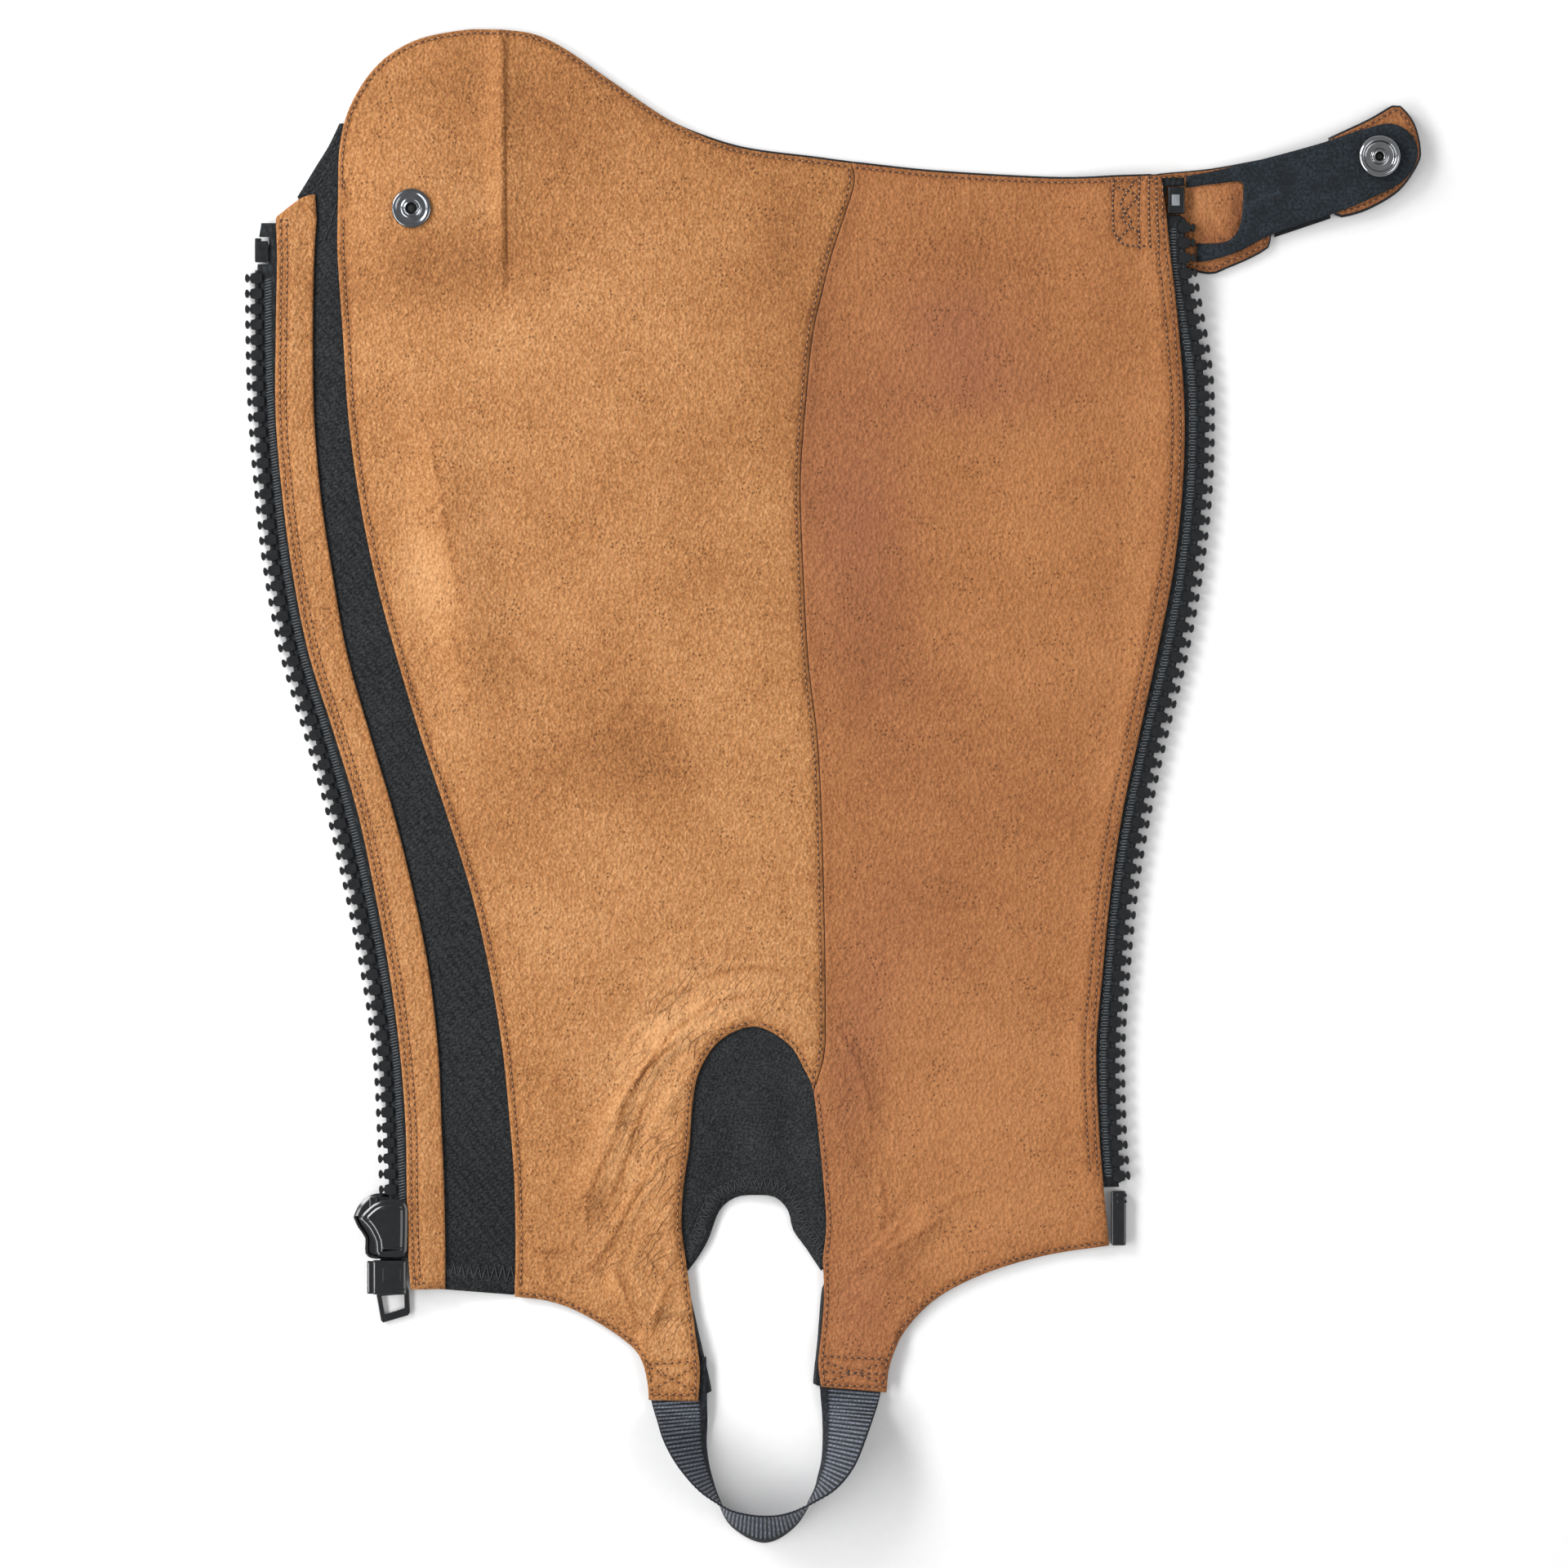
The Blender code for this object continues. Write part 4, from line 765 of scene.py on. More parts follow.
def woven(name, colour, pale, pitch, slant, roughness, heather=0.35, ribs=0.35, along_run=False):
    """Cloth of fine yarns: two sets of waves that cross at a slant give the weave its ribs."""
    made, tree, shader = finish(
        name, colour, roughness, IOR=1.5, Specular_IOR_Level=0.22, Sheen_Weight=0.04)
    if along_run:
        place = add(tree, "ShaderNodeUVMap", uv_map="run").outputs[0]
    else:
        place = add(tree, "ShaderNodeTexCoord").outputs["Object"]
    heights = []
    for turn, share in ((slant, 1.0), (slant + math.pi / 2, 0.5)):
        turned_place = add(tree, "ShaderNodeMapping", {"Vector": place, "Rotation": (0, 0, turn)})
        yarn = add(tree, "ShaderNodeTexWave", {
            "Vector": turned_place, "Scale": WAVE_SCALE / pitch * share,
            "Distortion": 1.4, "Detail": 2.0, "Detail Scale": 3.0})
        heights.append(yarn.outputs["Fac"])
    weave = add(tree, "ShaderNodeMath", {0: heights[0], 1: heights[1]}, operation="MULTIPLY")
    # Specks of fibre are 0.8 mm wide and soft clouds between them 17 mm
    speck = add(tree, "ShaderNodeTexNoise", {
        "Vector": place, "Scale": 1300.0, "Detail": 2.0, "Roughness": 0.75})
    cloud = add(tree, "ShaderNodeTexNoise", {"Vector": place, "Scale": 60.0, "Detail": 3.0})
    mixed = add(tree, "ShaderNodeMath", {0: cloud, 1: 0.12, 2: speck}, operation="MULTIPLY_ADD")
    mixed = add(tree, "ShaderNodeMapRange", {0: mixed, 1: 0.47, 2: 0.74, 3: 0.0, 4: heather})
    mixed = add(tree, "ShaderNodeMath", {0: weave, 1: ribs, 2: mixed}, operation="MULTIPLY_ADD")
    tone = add(tree, "ShaderNodeMix", {0: mixed, 6: linear(colour), 7: linear(pale)}, data_type="RGBA")
    tree.links.new(tone.outputs[2], shader.inputs["Base Color"])
    height = add(tree, "ShaderNodeMath", {0: speck, 1: 0.5, 2: weave}, operation="MULTIPLY_ADD")
    relief(tree, shader, height, 0.2, 0.6)
    return made


def moulded(name, colour, pale, roughness, metallic=0.0, coat=0.0, brushed=0.0):
    """Moulded plastic or plated metal: smooth, with faint flow marks and fine scratches."""
    made, tree, shader = finish(
        name, colour, roughness, Metallic=metallic, Coat_Weight=coat, Coat_Roughness=0.12)
    place = add(tree, "ShaderNodeTexCoord").outputs["Object"]
    flow = add(tree, "ShaderNodeTexNoise", {"Vector": place, "Scale": 400.0, "Detail": 3.0})
    streak = add(tree, "ShaderNodeMapping", {"Vector": place, "Scale": (1.0, 0.12, 1.0)})
    scratch = add(tree, "ShaderNodeTexNoise", {"Vector": streak, "Scale": 2600.0, "Detail": 2.0})
    tone = add(tree, "ShaderNodeMix", {0: flow, 6: linear(colour), 7: linear(pale)}, data_type="RGBA")
    tree.links.new(tone.outputs[2], shader.inputs["Base Color"])
    rough = add(tree, "ShaderNodeMapRange", {
        0: flow, 1: 0.3, 2: 0.7, 3: roughness * 0.8, 4: roughness * 1.25})
    tree.links.new(rough.outputs[0], shader.inputs["Roughness"])
    height = add(tree, "ShaderNodeMath", {0: scratch, 1: brushed, 2: flow}, operation="MULTIPLY_ADD")
    relief(tree, shader, height, 0.05, 0.25)
    return made


def thread(name, colour, pale):
    """Sewing thread: two plies twisted together, with a soft sheen."""
    made, tree, shader = finish(name, colour, 0.6, IOR=1.5, Sheen_Weight=0.3)
    place = add(tree, "ShaderNodeTexCoord").outputs["Object"]
    ply = add(tree, "ShaderNodeTexNoise", {"Vector": place, "Scale": 1500.0, "Detail": 1.0})
    tone = add(tree, "ShaderNodeMix", {0: ply, 6: linear(colour), 7: linear(pale)}, data_type="RGBA")
    tree.links.new(tone.outputs[2], shader.inputs["Base Color"])
    relief(tree, shader, ply, 0.1, 0.5)
    return made


TAN = tan_leather("napped_pigskin_tan", "#d39d69", "#ae7543", "#7b4b24", "#98603c")
TAN_CALF = tan_leather("napped_pigskin_russet", "#bf8350", "#a3693b", "#784822", "#9c6049")
BLACK = black_leather("full_grain_leather_black", "#141518", "#26282d", 1.4, 0.5)
SUEDE = black_leather("waxed_nubuck_black", "#11161a", "#2a323a", 0.8, 0.85, scuffed=True)
# Twill lines are 0.6 mm apart on the real cloth and 1.6 mm here, so that they show
STRETCH = woven("elastic_twill_black", "#0d0e0f", "#45484b", 1.6, 0.9, 0.9, heather=0.5, ribs=0.2)
GUSSET = woven("brushed_elastic_black", "#151617", "#4a4d50", 1.6, 0.4, 0.9, heather=0.55, ribs=0.06)
# Real braid, selvedge, webbing and tape have yarns about half as wide as they are drawn here
ELASTIC = woven("braided_elastic_black", "#0d0e10", "#2a2c30", 3.2, math.pi / 2, 0.8)
SELVEDGE_CLOTH = woven("woven_selvedge_black", "#17191d", "#3a3e46", 1.8, 0.3, 0.75)
WEBBING = woven("grosgrain_ribs_black", "#4e525b", "#9aa0ae", 1.4, 0.3, 0.7)
TAPE = woven("polyester_tape_black", "#0c0d0f", "#373c40", 2.4, 0.25, 0.7, along_run=True)
ACETAL = moulded("moulded_acetal_black", "#0d0e10", "#1a1c20", 0.3)
ENAMEL = moulded("enamelled_zinc_black", "#0b0c0f", "#16181c", 0.18, coat=0.5)
# Painted reflection: a pale grey patch for the glint on the flat top of the right top stop
STOP_GLINT = moulded("painted_glint_grey", "#6f757b", "#93999e", 0.4)
GUNMETAL = moulded("black_nickel_plate", "#6e7175", "#8b8e92", 0.2, metallic=1.0, brushed=0.6)
NICKEL = moulded("nickel_plate", "#8a8c8f", "#a9abad", 0.17, metallic=1.0, brushed=0.5)
# Painted shade: near-black discs in the snaps' centre holes stand in for their depth
BORE_SHADE = moulded("bore_painted_shade", "#08090a", "#101214", 0.7)
TAN_THREAD = thread("bonded_thread_tan", "#98602f", "#c88f5c")
RUSSET_THREAD = thread("bonded_thread_russet", "#8c552b", "#bb814f")
BLACK_THREAD = thread("bonded_thread_black", "#17191b", "#36393d")
# Painted highlight: pale grey ticks stand in for the glints on the tape's woven ribs and chain stitches
TAPE_GLINT_THREAD = thread("tape_yarn_grey", "#40464b", "#767d82")
# Painted shade: dark discs at the needle holes stand in for the shade inside each hole
HOLE_SHADE = thread("needle_hole_shade", "#2c1407", "#3c1f0c")
BLACK_HOLE_SHADE = thread("needle_hole_shade_black", "#050506", "#0a0a0c")


def piece(name, mesh, finishes, body="root", nodes=()):
    """Puts a finished mesh in the scene, on its body and in place of its solids."""
    if finishes:
        mesh.materials.clear()
        for each in finishes:
            mesh.materials.append(each)
    item = bpy.data.objects.new(name, mesh)
    bpy.context.scene.collection.objects.link(item)
    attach(item, body)
    if nodes:
        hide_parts(*nodes)
    return item


def plain_mesh(name, bm, flat=False):
    """A mesh in metres from one that was made in millimetres."""
    bmesh.ops.scale(bm, vec=(MM, MM, MM), verts=bm.verts)
    bmesh.ops.recalc_face_normals(bm, faces=bm.faces)
    mesh = bpy.data.meshes.new(name)
    bm.to_mesh(mesh)
    bm.free()
    if not flat:
        mesh.shade_smooth()
    return mesh


def within(x, y, ring):
    """Which places lie inside a ring."""
    inside = np.zeros(x.shape, bool)
    for a, b in zip(ring, ring[1:] + ring[:1]):
        if a.y != b.y:
            crosses = (a.y > y) != (b.y > y)
            inside ^= crosses & (x < a.x + (b.x - a.x) * (y - a.y) / (b.y - a.y))
    return inside


# Room that is kept free round each place of a net: beside the rim, beside a line and at the rim
ROW_ROOM = 0.5
LINE_ROOM = 0.55
RIM_ROOM = 0.45
# Height of an equal-sided triangle for each unit of its side
TRIANGLE = 0.87
# How a cut edge is rounded: share of the thickness, and how far in from the rim
RIM_ROUND = 0.34
RIM_WIDTH = 0.9


def net(ring, spacing, rows, lines, fine=0.0):
    """Places and triangles over a ring, closer along its edge and along the given lines."""
    taken = {}
    places = []

    def put(spot, room):
        cell = (math.floor(spot[0]), math.floor(spot[1]))
        reach = math.ceil(room)
        for i in range(cell[0] - reach, cell[0] + reach + 1):
            for j in range(cell[1] - reach, cell[1] + reach + 1):
                for other in taken.get((i, j), ()):
                    if math.dist(spot, other) < room:
                        return
        taken.setdefault(cell, []).append(spot)
        places.append(spot)

    for point in ring:
        taken.setdefault((math.floor(point.x), math.floor(point.y)), []).append(tuple(point))
        places.append(tuple(point))
    loop = ring + ring[:2]
    extra = []
    for distance in rows:
        extra += [(p, ROW_ROOM) for p in shifted(loop, distance)]
    for line in lines:
        for distance in (0.0, -0.8, 0.8, -2.2, 2.2):
            extra += [(p, LINE_ROOM) for p in shifted(line, distance)]
    low = (min(p.x for p in ring), min(p.y for p in ring))
    high = (max(p.x for p in ring), max(p.y for p in ring))
    for between in (fine, spacing):
        if not between:
            continue
        for row in range(int((high[1] - low[1]) / between / TRIANGLE) + 1):
            for column in range(int((high[0] - low[0]) / between) + 1):
                spot_x = low[0] + (column + row % 2 / 2) * between
                spot = Vector((spot_x, low[1] + row * between * TRIANGLE))
                if between == spacing or PUCKERED[0] < spot.x < PUCKERED[1] and spot.y < PUCKERED[2]:
                    extra.append((spot, between * 0.66))
    spots = np.array([tuple(p) for p, _ in extra])
    keep = within(spots[:, 0], spots[:, 1], ring)
    clear, _ = nearest(spots[:, 0], spots[:, 1], ring + ring[:1])
    for (spot, room), good in zip(extra, keep & (clear > RIM_ROOM)):
        if good:
            put(tuple(spot), room)
    edges = [(i, (i + 1) % len(ring)) for i in range(len(ring))]
    found, _, triangles, *_ = delaunay_2d_cdt([Vector(p) for p in places], edges, [], 1, 1e-5)
    return np.array([tuple(p) for p in found]), triangles


def toned_with_painted_light(x, y, base, red):
    """Shade and redness of the leather at each place, with its painted light."""
    shade = np.full(x.shape, base)
    redness = np.full(x.shape, red)
    for middle_x, middle_y, reach_x, reach_y, turn, darker, redder in DYE_AND_PAINTED_LIGHT:
        c, s = math.cos(math.radians(turn)), math.sin(math.radians(turn))
        u = ((x - middle_x) * c + (y - middle_y) * s) / reach_x
        v = (-(x - middle_x) * s + (y - middle_y) * c) / reach_y
        amount = np.exp(-(u * u + v * v))
        shade += 0.42 * darker * amount
        redness += redder * amount
    # Painted highlight: the tops of the puckers are made paler than their valleys
    shade += 0.08 * puckers(x, y)
    return shade, np.clip(redness, 0, 1)


def cut_sheet(name, ring, under, thick, spacing, lines=(), grooves=(), steps=(),
              rows=(0.75, 1.6, 2.5), shade=None, fine=0.0):
    """A thin closed wall over a ring, with a rounded rim and sewn lines pressed in."""
    places, triangles = net(ring, spacing, rows, list(lines) + list(grooves), fine)
    x, y = places[:, 0], places[:, 1]
    rim, _ = nearest(x, y, ring + ring[:1])
    low = under(x, y)
    roundness = RIM_ROUND * thick * (1 - ease(rim / RIM_WIDTH))
    pressed = np.zeros(x.shape)
    for path in grooves:
        distance, _ = nearest(x, y, path)
        pressed = np.maximum(pressed, GROOVE * (1 - ease(distance / GROOVE_WIDTH)))
    lift = np.zeros(x.shape)
    for path, height, reach in steps:
        distance, _ = nearest(x, y, path)
        lift = lift + height * (1 - ease(distance / reach))
    bm = bmesh.new()
    bottom = [bm.verts.new(p) for p in zip(x, y, low + roundness)]
    top = [bm.verts.new(p) for p in zip(x, y, low + thick + lift - roundness - pressed * thick)]
    for a, b, c in triangles:
        bm.faces.new((top[a], top[b], top[c]))
        bm.faces.new((bottom[c], bottom[b], bottom[a]))
    rim_edges = {}
    for triangle in triangles:
        for a, b in zip(triangle, triangle[1:] + triangle[:1]):
            rim_edges[(a, b)] = (b, a) not in rim_edges
            if not rim_edges[(a, b)]:
                rim_edges[(b, a)] = False
    for (a, b), open_edge in rim_edges.items():
        if open_edge:
            bm.faces.new((top[b], top[a], bottom[a], bottom[b]))
    mesh = plain_mesh(name, bm)
    if shade:
        dark, red = toned_with_painted_light(x, y, *shade)
        wrinkled_part = round_arch(x, y)[1][2]
        # Darker along pressed lines and within 6 mm of the cut edge; the creases get painted shade
        dark = dark - 0.10 * (1 - ease(rim / 6.0)) - 0.25 * pressed / GROOVE
        # Painted shade: each crease is darkened along its line
        for swell, _, _, path in CREASE_PATHS:
            distance, share = nearest(x, y, path)
            fade = ease(share / 0.25) * ease((1 - share) / 0.25)
            dark = dark - 0.3 * swell * fade * (1 - ease(distance / 1.6))
        paint(mesh, *(np.clip(np.tile(part, 2), 0, 1) for part in (dark, red, wrinkled_part)))
    return mesh


def places_of(mesh):
    """Where a mesh's points lie, seen from above, in millimetres."""
    co = np.zeros(len(mesh.vertices) * 3)
    mesh.vertices.foreach_get("co", co)
    return co.reshape(-1, 3)[:, :2].T / MM


def paint(mesh, *channels):
    """Gives each point of a mesh its tone and painted light: shade, redness and wrinkles."""
    colours = np.stack([*channels, 1 + 0 * channels[0]], 1)
    attribute = mesh.attributes.new("tone_and_painted_light", "FLOAT_COLOR", "POINT")
    attribute.data.foreach_set("color", colours.ravel().astype(np.float32))


def run_map(mesh, path):
    """A UV map in metres along and across a path, for cloth whose weave follows it."""
    distance, share = nearest(*places_of(mesh), path)
    length = run_along(path)[-1]
    corner = np.zeros(len(mesh.loops), int)
    mesh.loops.foreach_get("vertex_index", corner)
    spots = np.stack([distance, share * length], 1)[corner] * MM
    mesh.uv_layers.new(name="run").data.foreach_set("uv", spots.ravel())


def sockets(tree, result, inputs):
    """A tree's named inputs, which are returned, and its one result."""
    for name, kind in inputs.items():
        tree.interface.new_socket(name, in_out="INPUT", socket_type="NodeSocket" + kind)
    tree.interface.new_socket(result, in_out="OUTPUT", socket_type="NodeSocketGeometry")
    return add(tree, "NodeGroupInput").outputs


def sewing_tree():
    """Stitches along guide lines: a row, or a zigzag where the swing is above nothing."""
    tree = bpy.data.node_groups.new("sewing", "GeometryNodeTree")
    given = sockets(tree, "Stitches", {
        "Lines": "Geometry", "Pitch": "Float", "Swing": "Float", "Share": "Float",
        "Thread width": "Float", "Hole radius": "Float", "Thread": "Material", "Hole": "Material"})
    curve = add(tree, "GeometryNodeMeshToCurve", {"Mesh": given["Lines"]})
    points = add(tree, "GeometryNodeResampleCurve", {
        "Curve": curve, "Length": given["Pitch"]}, mode="LENGTH")
    tangent = add(tree, "GeometryNodeInputTangent")
    sideways = add(tree, "ShaderNodeVectorMath", {0: tangent, 1: (0, 0, 1)}, operation="CROSS_PRODUCT")
    index = add(tree, "GeometryNodeInputIndex")
    odd = add(tree, "ShaderNodeMath", {0: index, 1: 2.0}, operation="MODULO")
    sign = add(tree, "ShaderNodeMath", {0: odd, 1: 0.5}, operation="SUBTRACT")
    amount = add(tree, "ShaderNodeMath", {0: sign, 1: given["Swing"]}, operation="MULTIPLY")
    offset = add(tree, "ShaderNodeVectorMath", {0: sideways, "Scale": amount}, operation="SCALE")
    marked = add(tree, "GeometryNodeStoreNamedAttribute", {
        "Geometry": points, "Name": "run", "Value": tangent}, data_type="FLOAT_VECTOR")
    swung = add(tree, "GeometryNodeSetPosition", {"Geometry": marked, "Offset": offset})
    line = add(tree, "GeometryNodeCurveToMesh", {"Curve": swung})
    ends = add(tree, "GeometryNodeInputMeshEdgeVertices")
    way = add(tree, "ShaderNodeVectorMath", {
        0: ends.outputs["Position 2"], 1: ends.outputs["Position 1"]}, operation="SUBTRACT")
    kept = add(tree, "GeometryNodeStoreNamedAttribute", {
        "Geometry": line, "Name": "way", "Value": way},
        data_type="FLOAT_VECTOR", domain="EDGE")
    middles = add(tree, "GeometryNodeMeshToPoints", {"Mesh": kept}, mode="EDGES")
    read = add(tree, "GeometryNodeInputNamedAttribute", {"Name": "way"}, data_type="FLOAT_VECTOR")
    turn = add(tree, "FunctionNodeAlignRotationToVector", {"Vector": read}, axis="X")
    length = add(tree, "ShaderNodeVectorMath", {0: read}, operation="LENGTH")
    reach = add(tree, "ShaderNodeMath", {
        0: length.outputs["Value"], 1: given["Share"]}, operation="MULTIPLY")
    size = add(tree, "ShaderNodeCombineXYZ", {
        0: reach, 1: given["Thread width"], 2: given["Thread width"]})
    bead = add(tree, "GeometryNodeMeshUVSphere", {"Segments": 6, "Rings": 4, "Radius": 0.5})
    lying = add(tree, "GeometryNodeTransform", {"Geometry": bead, "Rotation": (0, math.pi / 2, 0)})
    threads = add(tree, "GeometryNodeInstanceOnPoints", {
        "Points": middles, "Instance": lying, "Rotation": turn, "Scale": size})
    threads = add(tree, "GeometryNodeRealizeInstances", {"Geometry": threads})
    threads = add(tree, "GeometryNodeSetMaterial", {"Geometry": threads, "Material": given["Thread"]})
    # Painted shade: a dark flattened disc at each needle hole
    spots = add(tree, "GeometryNodeMeshToPoints", {"Mesh": line})
    disc = add(tree, "GeometryNodeMeshUVSphere", {"Segments": 6, "Rings": 3, "Radius": 1.0})
    flat = add(tree, "GeometryNodeTransform", {"Geometry": disc, "Scale": (1.5, 0.8, 0.3)})
    wide = add(tree, "ShaderNodeCombineXYZ", {axis: given["Hole radius"] for axis in range(3)})
    row = add(tree, "GeometryNodeInputNamedAttribute", {"Name": "run"}, data_type="FLOAT_VECTOR")
    lying_way = add(tree, "FunctionNodeAlignRotationToVector", {"Vector": row}, axis="X")
    holes = add(tree, "GeometryNodeInstanceOnPoints", {
        "Points": spots, "Instance": flat, "Rotation": lying_way, "Scale": wide})
    holes = add(tree, "GeometryNodeRealizeInstances", {"Geometry": holes})
    holes = add(tree, "GeometryNodeSetMaterial", {"Geometry": holes, "Material": given["Hole"]})
    both = add(tree, "GeometryNodeJoinGeometry")
    tree.links.new(threads.outputs[0], both.inputs[0])
    tree.links.new(holes.outputs[0], both.inputs[0])
    add(tree, "NodeGroupOutput", {"Stitches": both})
    return tree


def teeth_tree():
    """One moulded tooth at each pitch along the edge of the tape, pointing outwards."""
    tree = bpy.data.node_groups.new("teeth", "GeometryNodeTree")
    given = sockets(tree, "Teeth", {
        "Edge": "Geometry", "Pitch": "Float", "Tooth": "Object", "Plastic": "Material"})
    curve = add(tree, "GeometryNodeMeshToCurve", {"Mesh": given["Edge"]})
    points = add(tree, "GeometryNodeResampleCurve", {
        "Curve": curve, "Length": given["Pitch"]}, mode="LENGTH")
    tangent = add(tree, "GeometryNodeInputTangent")
    out = add(tree, "ShaderNodeVectorMath", {0: tangent, 1: (0, 0, 1)}, operation="CROSS_PRODUCT")
    turn = add(tree, "FunctionNodeAlignRotationToVector", {"Vector": out}, axis="X", pivot_axis="Z")
    shape = add(tree, "GeometryNodeObjectInfo", {"Object": given["Tooth"]})
    teeth = add(tree, "GeometryNodeInstanceOnPoints", {
        "Points": points, "Instance": shape.outputs["Geometry"], "Rotation": turn})
    teeth = add(tree, "GeometryNodeRealizeInstances", {"Geometry": teeth})
    teeth = add(tree, "GeometryNodeSetMaterial", {"Geometry": teeth, "Material": given["Plastic"]})
    add(tree, "NodeGroupOutput", {"Teeth": teeth})
    return tree


def cord_tree():
    """Round cords along guide lines, as the ribs of webbing and the bead of a zip tape."""
    tree = bpy.data.node_groups.new("cords", "GeometryNodeTree")
    given = sockets(tree, "Cords", {
        "Lines": "Geometry", "Radius": "Float", "Sides": "Int", "Yarn": "Material"})
    curve = add(tree, "GeometryNodeMeshToCurve", {"Mesh": given["Lines"]})
    ring = add(tree, "GeometryNodeCurvePrimitiveCircle", {
        "Resolution": given["Sides"], "Radius": given["Radius"]})
    tube = add(tree, "GeometryNodeCurveToMesh", {
        "Curve": curve, "Profile Curve": ring, "Fill Caps": True})
    soft = add(tree, "GeometryNodeSetShadeSmooth", {"Geometry": tube})
    real = add(tree, "GeometryNodeRealizeInstances", {"Geometry": soft})
    dressed = add(tree, "GeometryNodeSetMaterial", {"Geometry": real, "Material": given["Yarn"]})
    add(tree, "NodeGroupOutput", {"Cords": dressed})
    return tree


def grown(name, tree, lines, **values):
    """A plain mesh that a tree grows along guide lines, which are given in millimetres."""
    verts, edges = [], []
    for line in lines:
        edges += [(len(verts) + i, len(verts) + i + 1) for i in range(len(line) - 1)]
        verts += [tuple(c * MM for c in p) for p in line]
    guide_mesh = bpy.data.meshes.new(name + "_guide")
    guide_mesh.from_pydata(verts, edges, [])
    guide = bpy.data.objects.new(name + "_guide", guide_mesh)
    bpy.context.scene.collection.objects.link(guide)
    change = guide.modifiers.new("grow", "NODES")
    change.node_group = tree
    for item in tree.interface.items_tree:
        if item.in_out == "INPUT" and item.name in values:
            change[item.identifier] = values[item.name]
    depsgraph = bpy.context.evaluated_depsgraph_get()
    mesh = bpy.data.meshes.new_from_object(guide.evaluated_get(depsgraph), depsgraph=depsgraph)
    bpy.data.objects.remove(guide)
    mesh.name = name
    return mesh


def on_surface(path, under, height):
    """A flat path laid on a surface."""
    x = np.array([p[0] for p in path])
    y = np.array([p[1] for p in path])
    return list(zip(x, y, under(x, y) + height))


def sew(name, paths, under, height, colour, hole_shade=BLACK_HOLE_SHADE, pitch=STITCH_PITCH, swing=0.0, share=0.56,
        width=0.55, hole_radius=0.42):
    """Rows of stitches along flat paths, on a surface."""
    lines = [on_surface(path, under, height) for path in paths]
    mesh = grown(name, TREES["sewing"], lines, **{
        "Pitch": pitch * MM, "Swing": swing * MM, "Share": share, "Thread width": width * MM,
        "Hole radius": hole_radius * MM, "Thread": colour, "Hole": hole_shade})
    mesh.shade_smooth()
    return piece(name, mesh, None)


TREES = {"sewing": sewing_tree(), "teeth": teeth_tree(), "cords": cord_tree()}
RINGS = outlines()


# How high the rows on the outer side lie, above the surface that the chap rests on
UNDER_ROW = 0.1
# Distance between a lining's places in the puckers
FINE_SPACING = 1.35


def drawn(*lines):
    """Straight lines between the given places."""
    return [[Vector(p) for p in line] for line in lines]


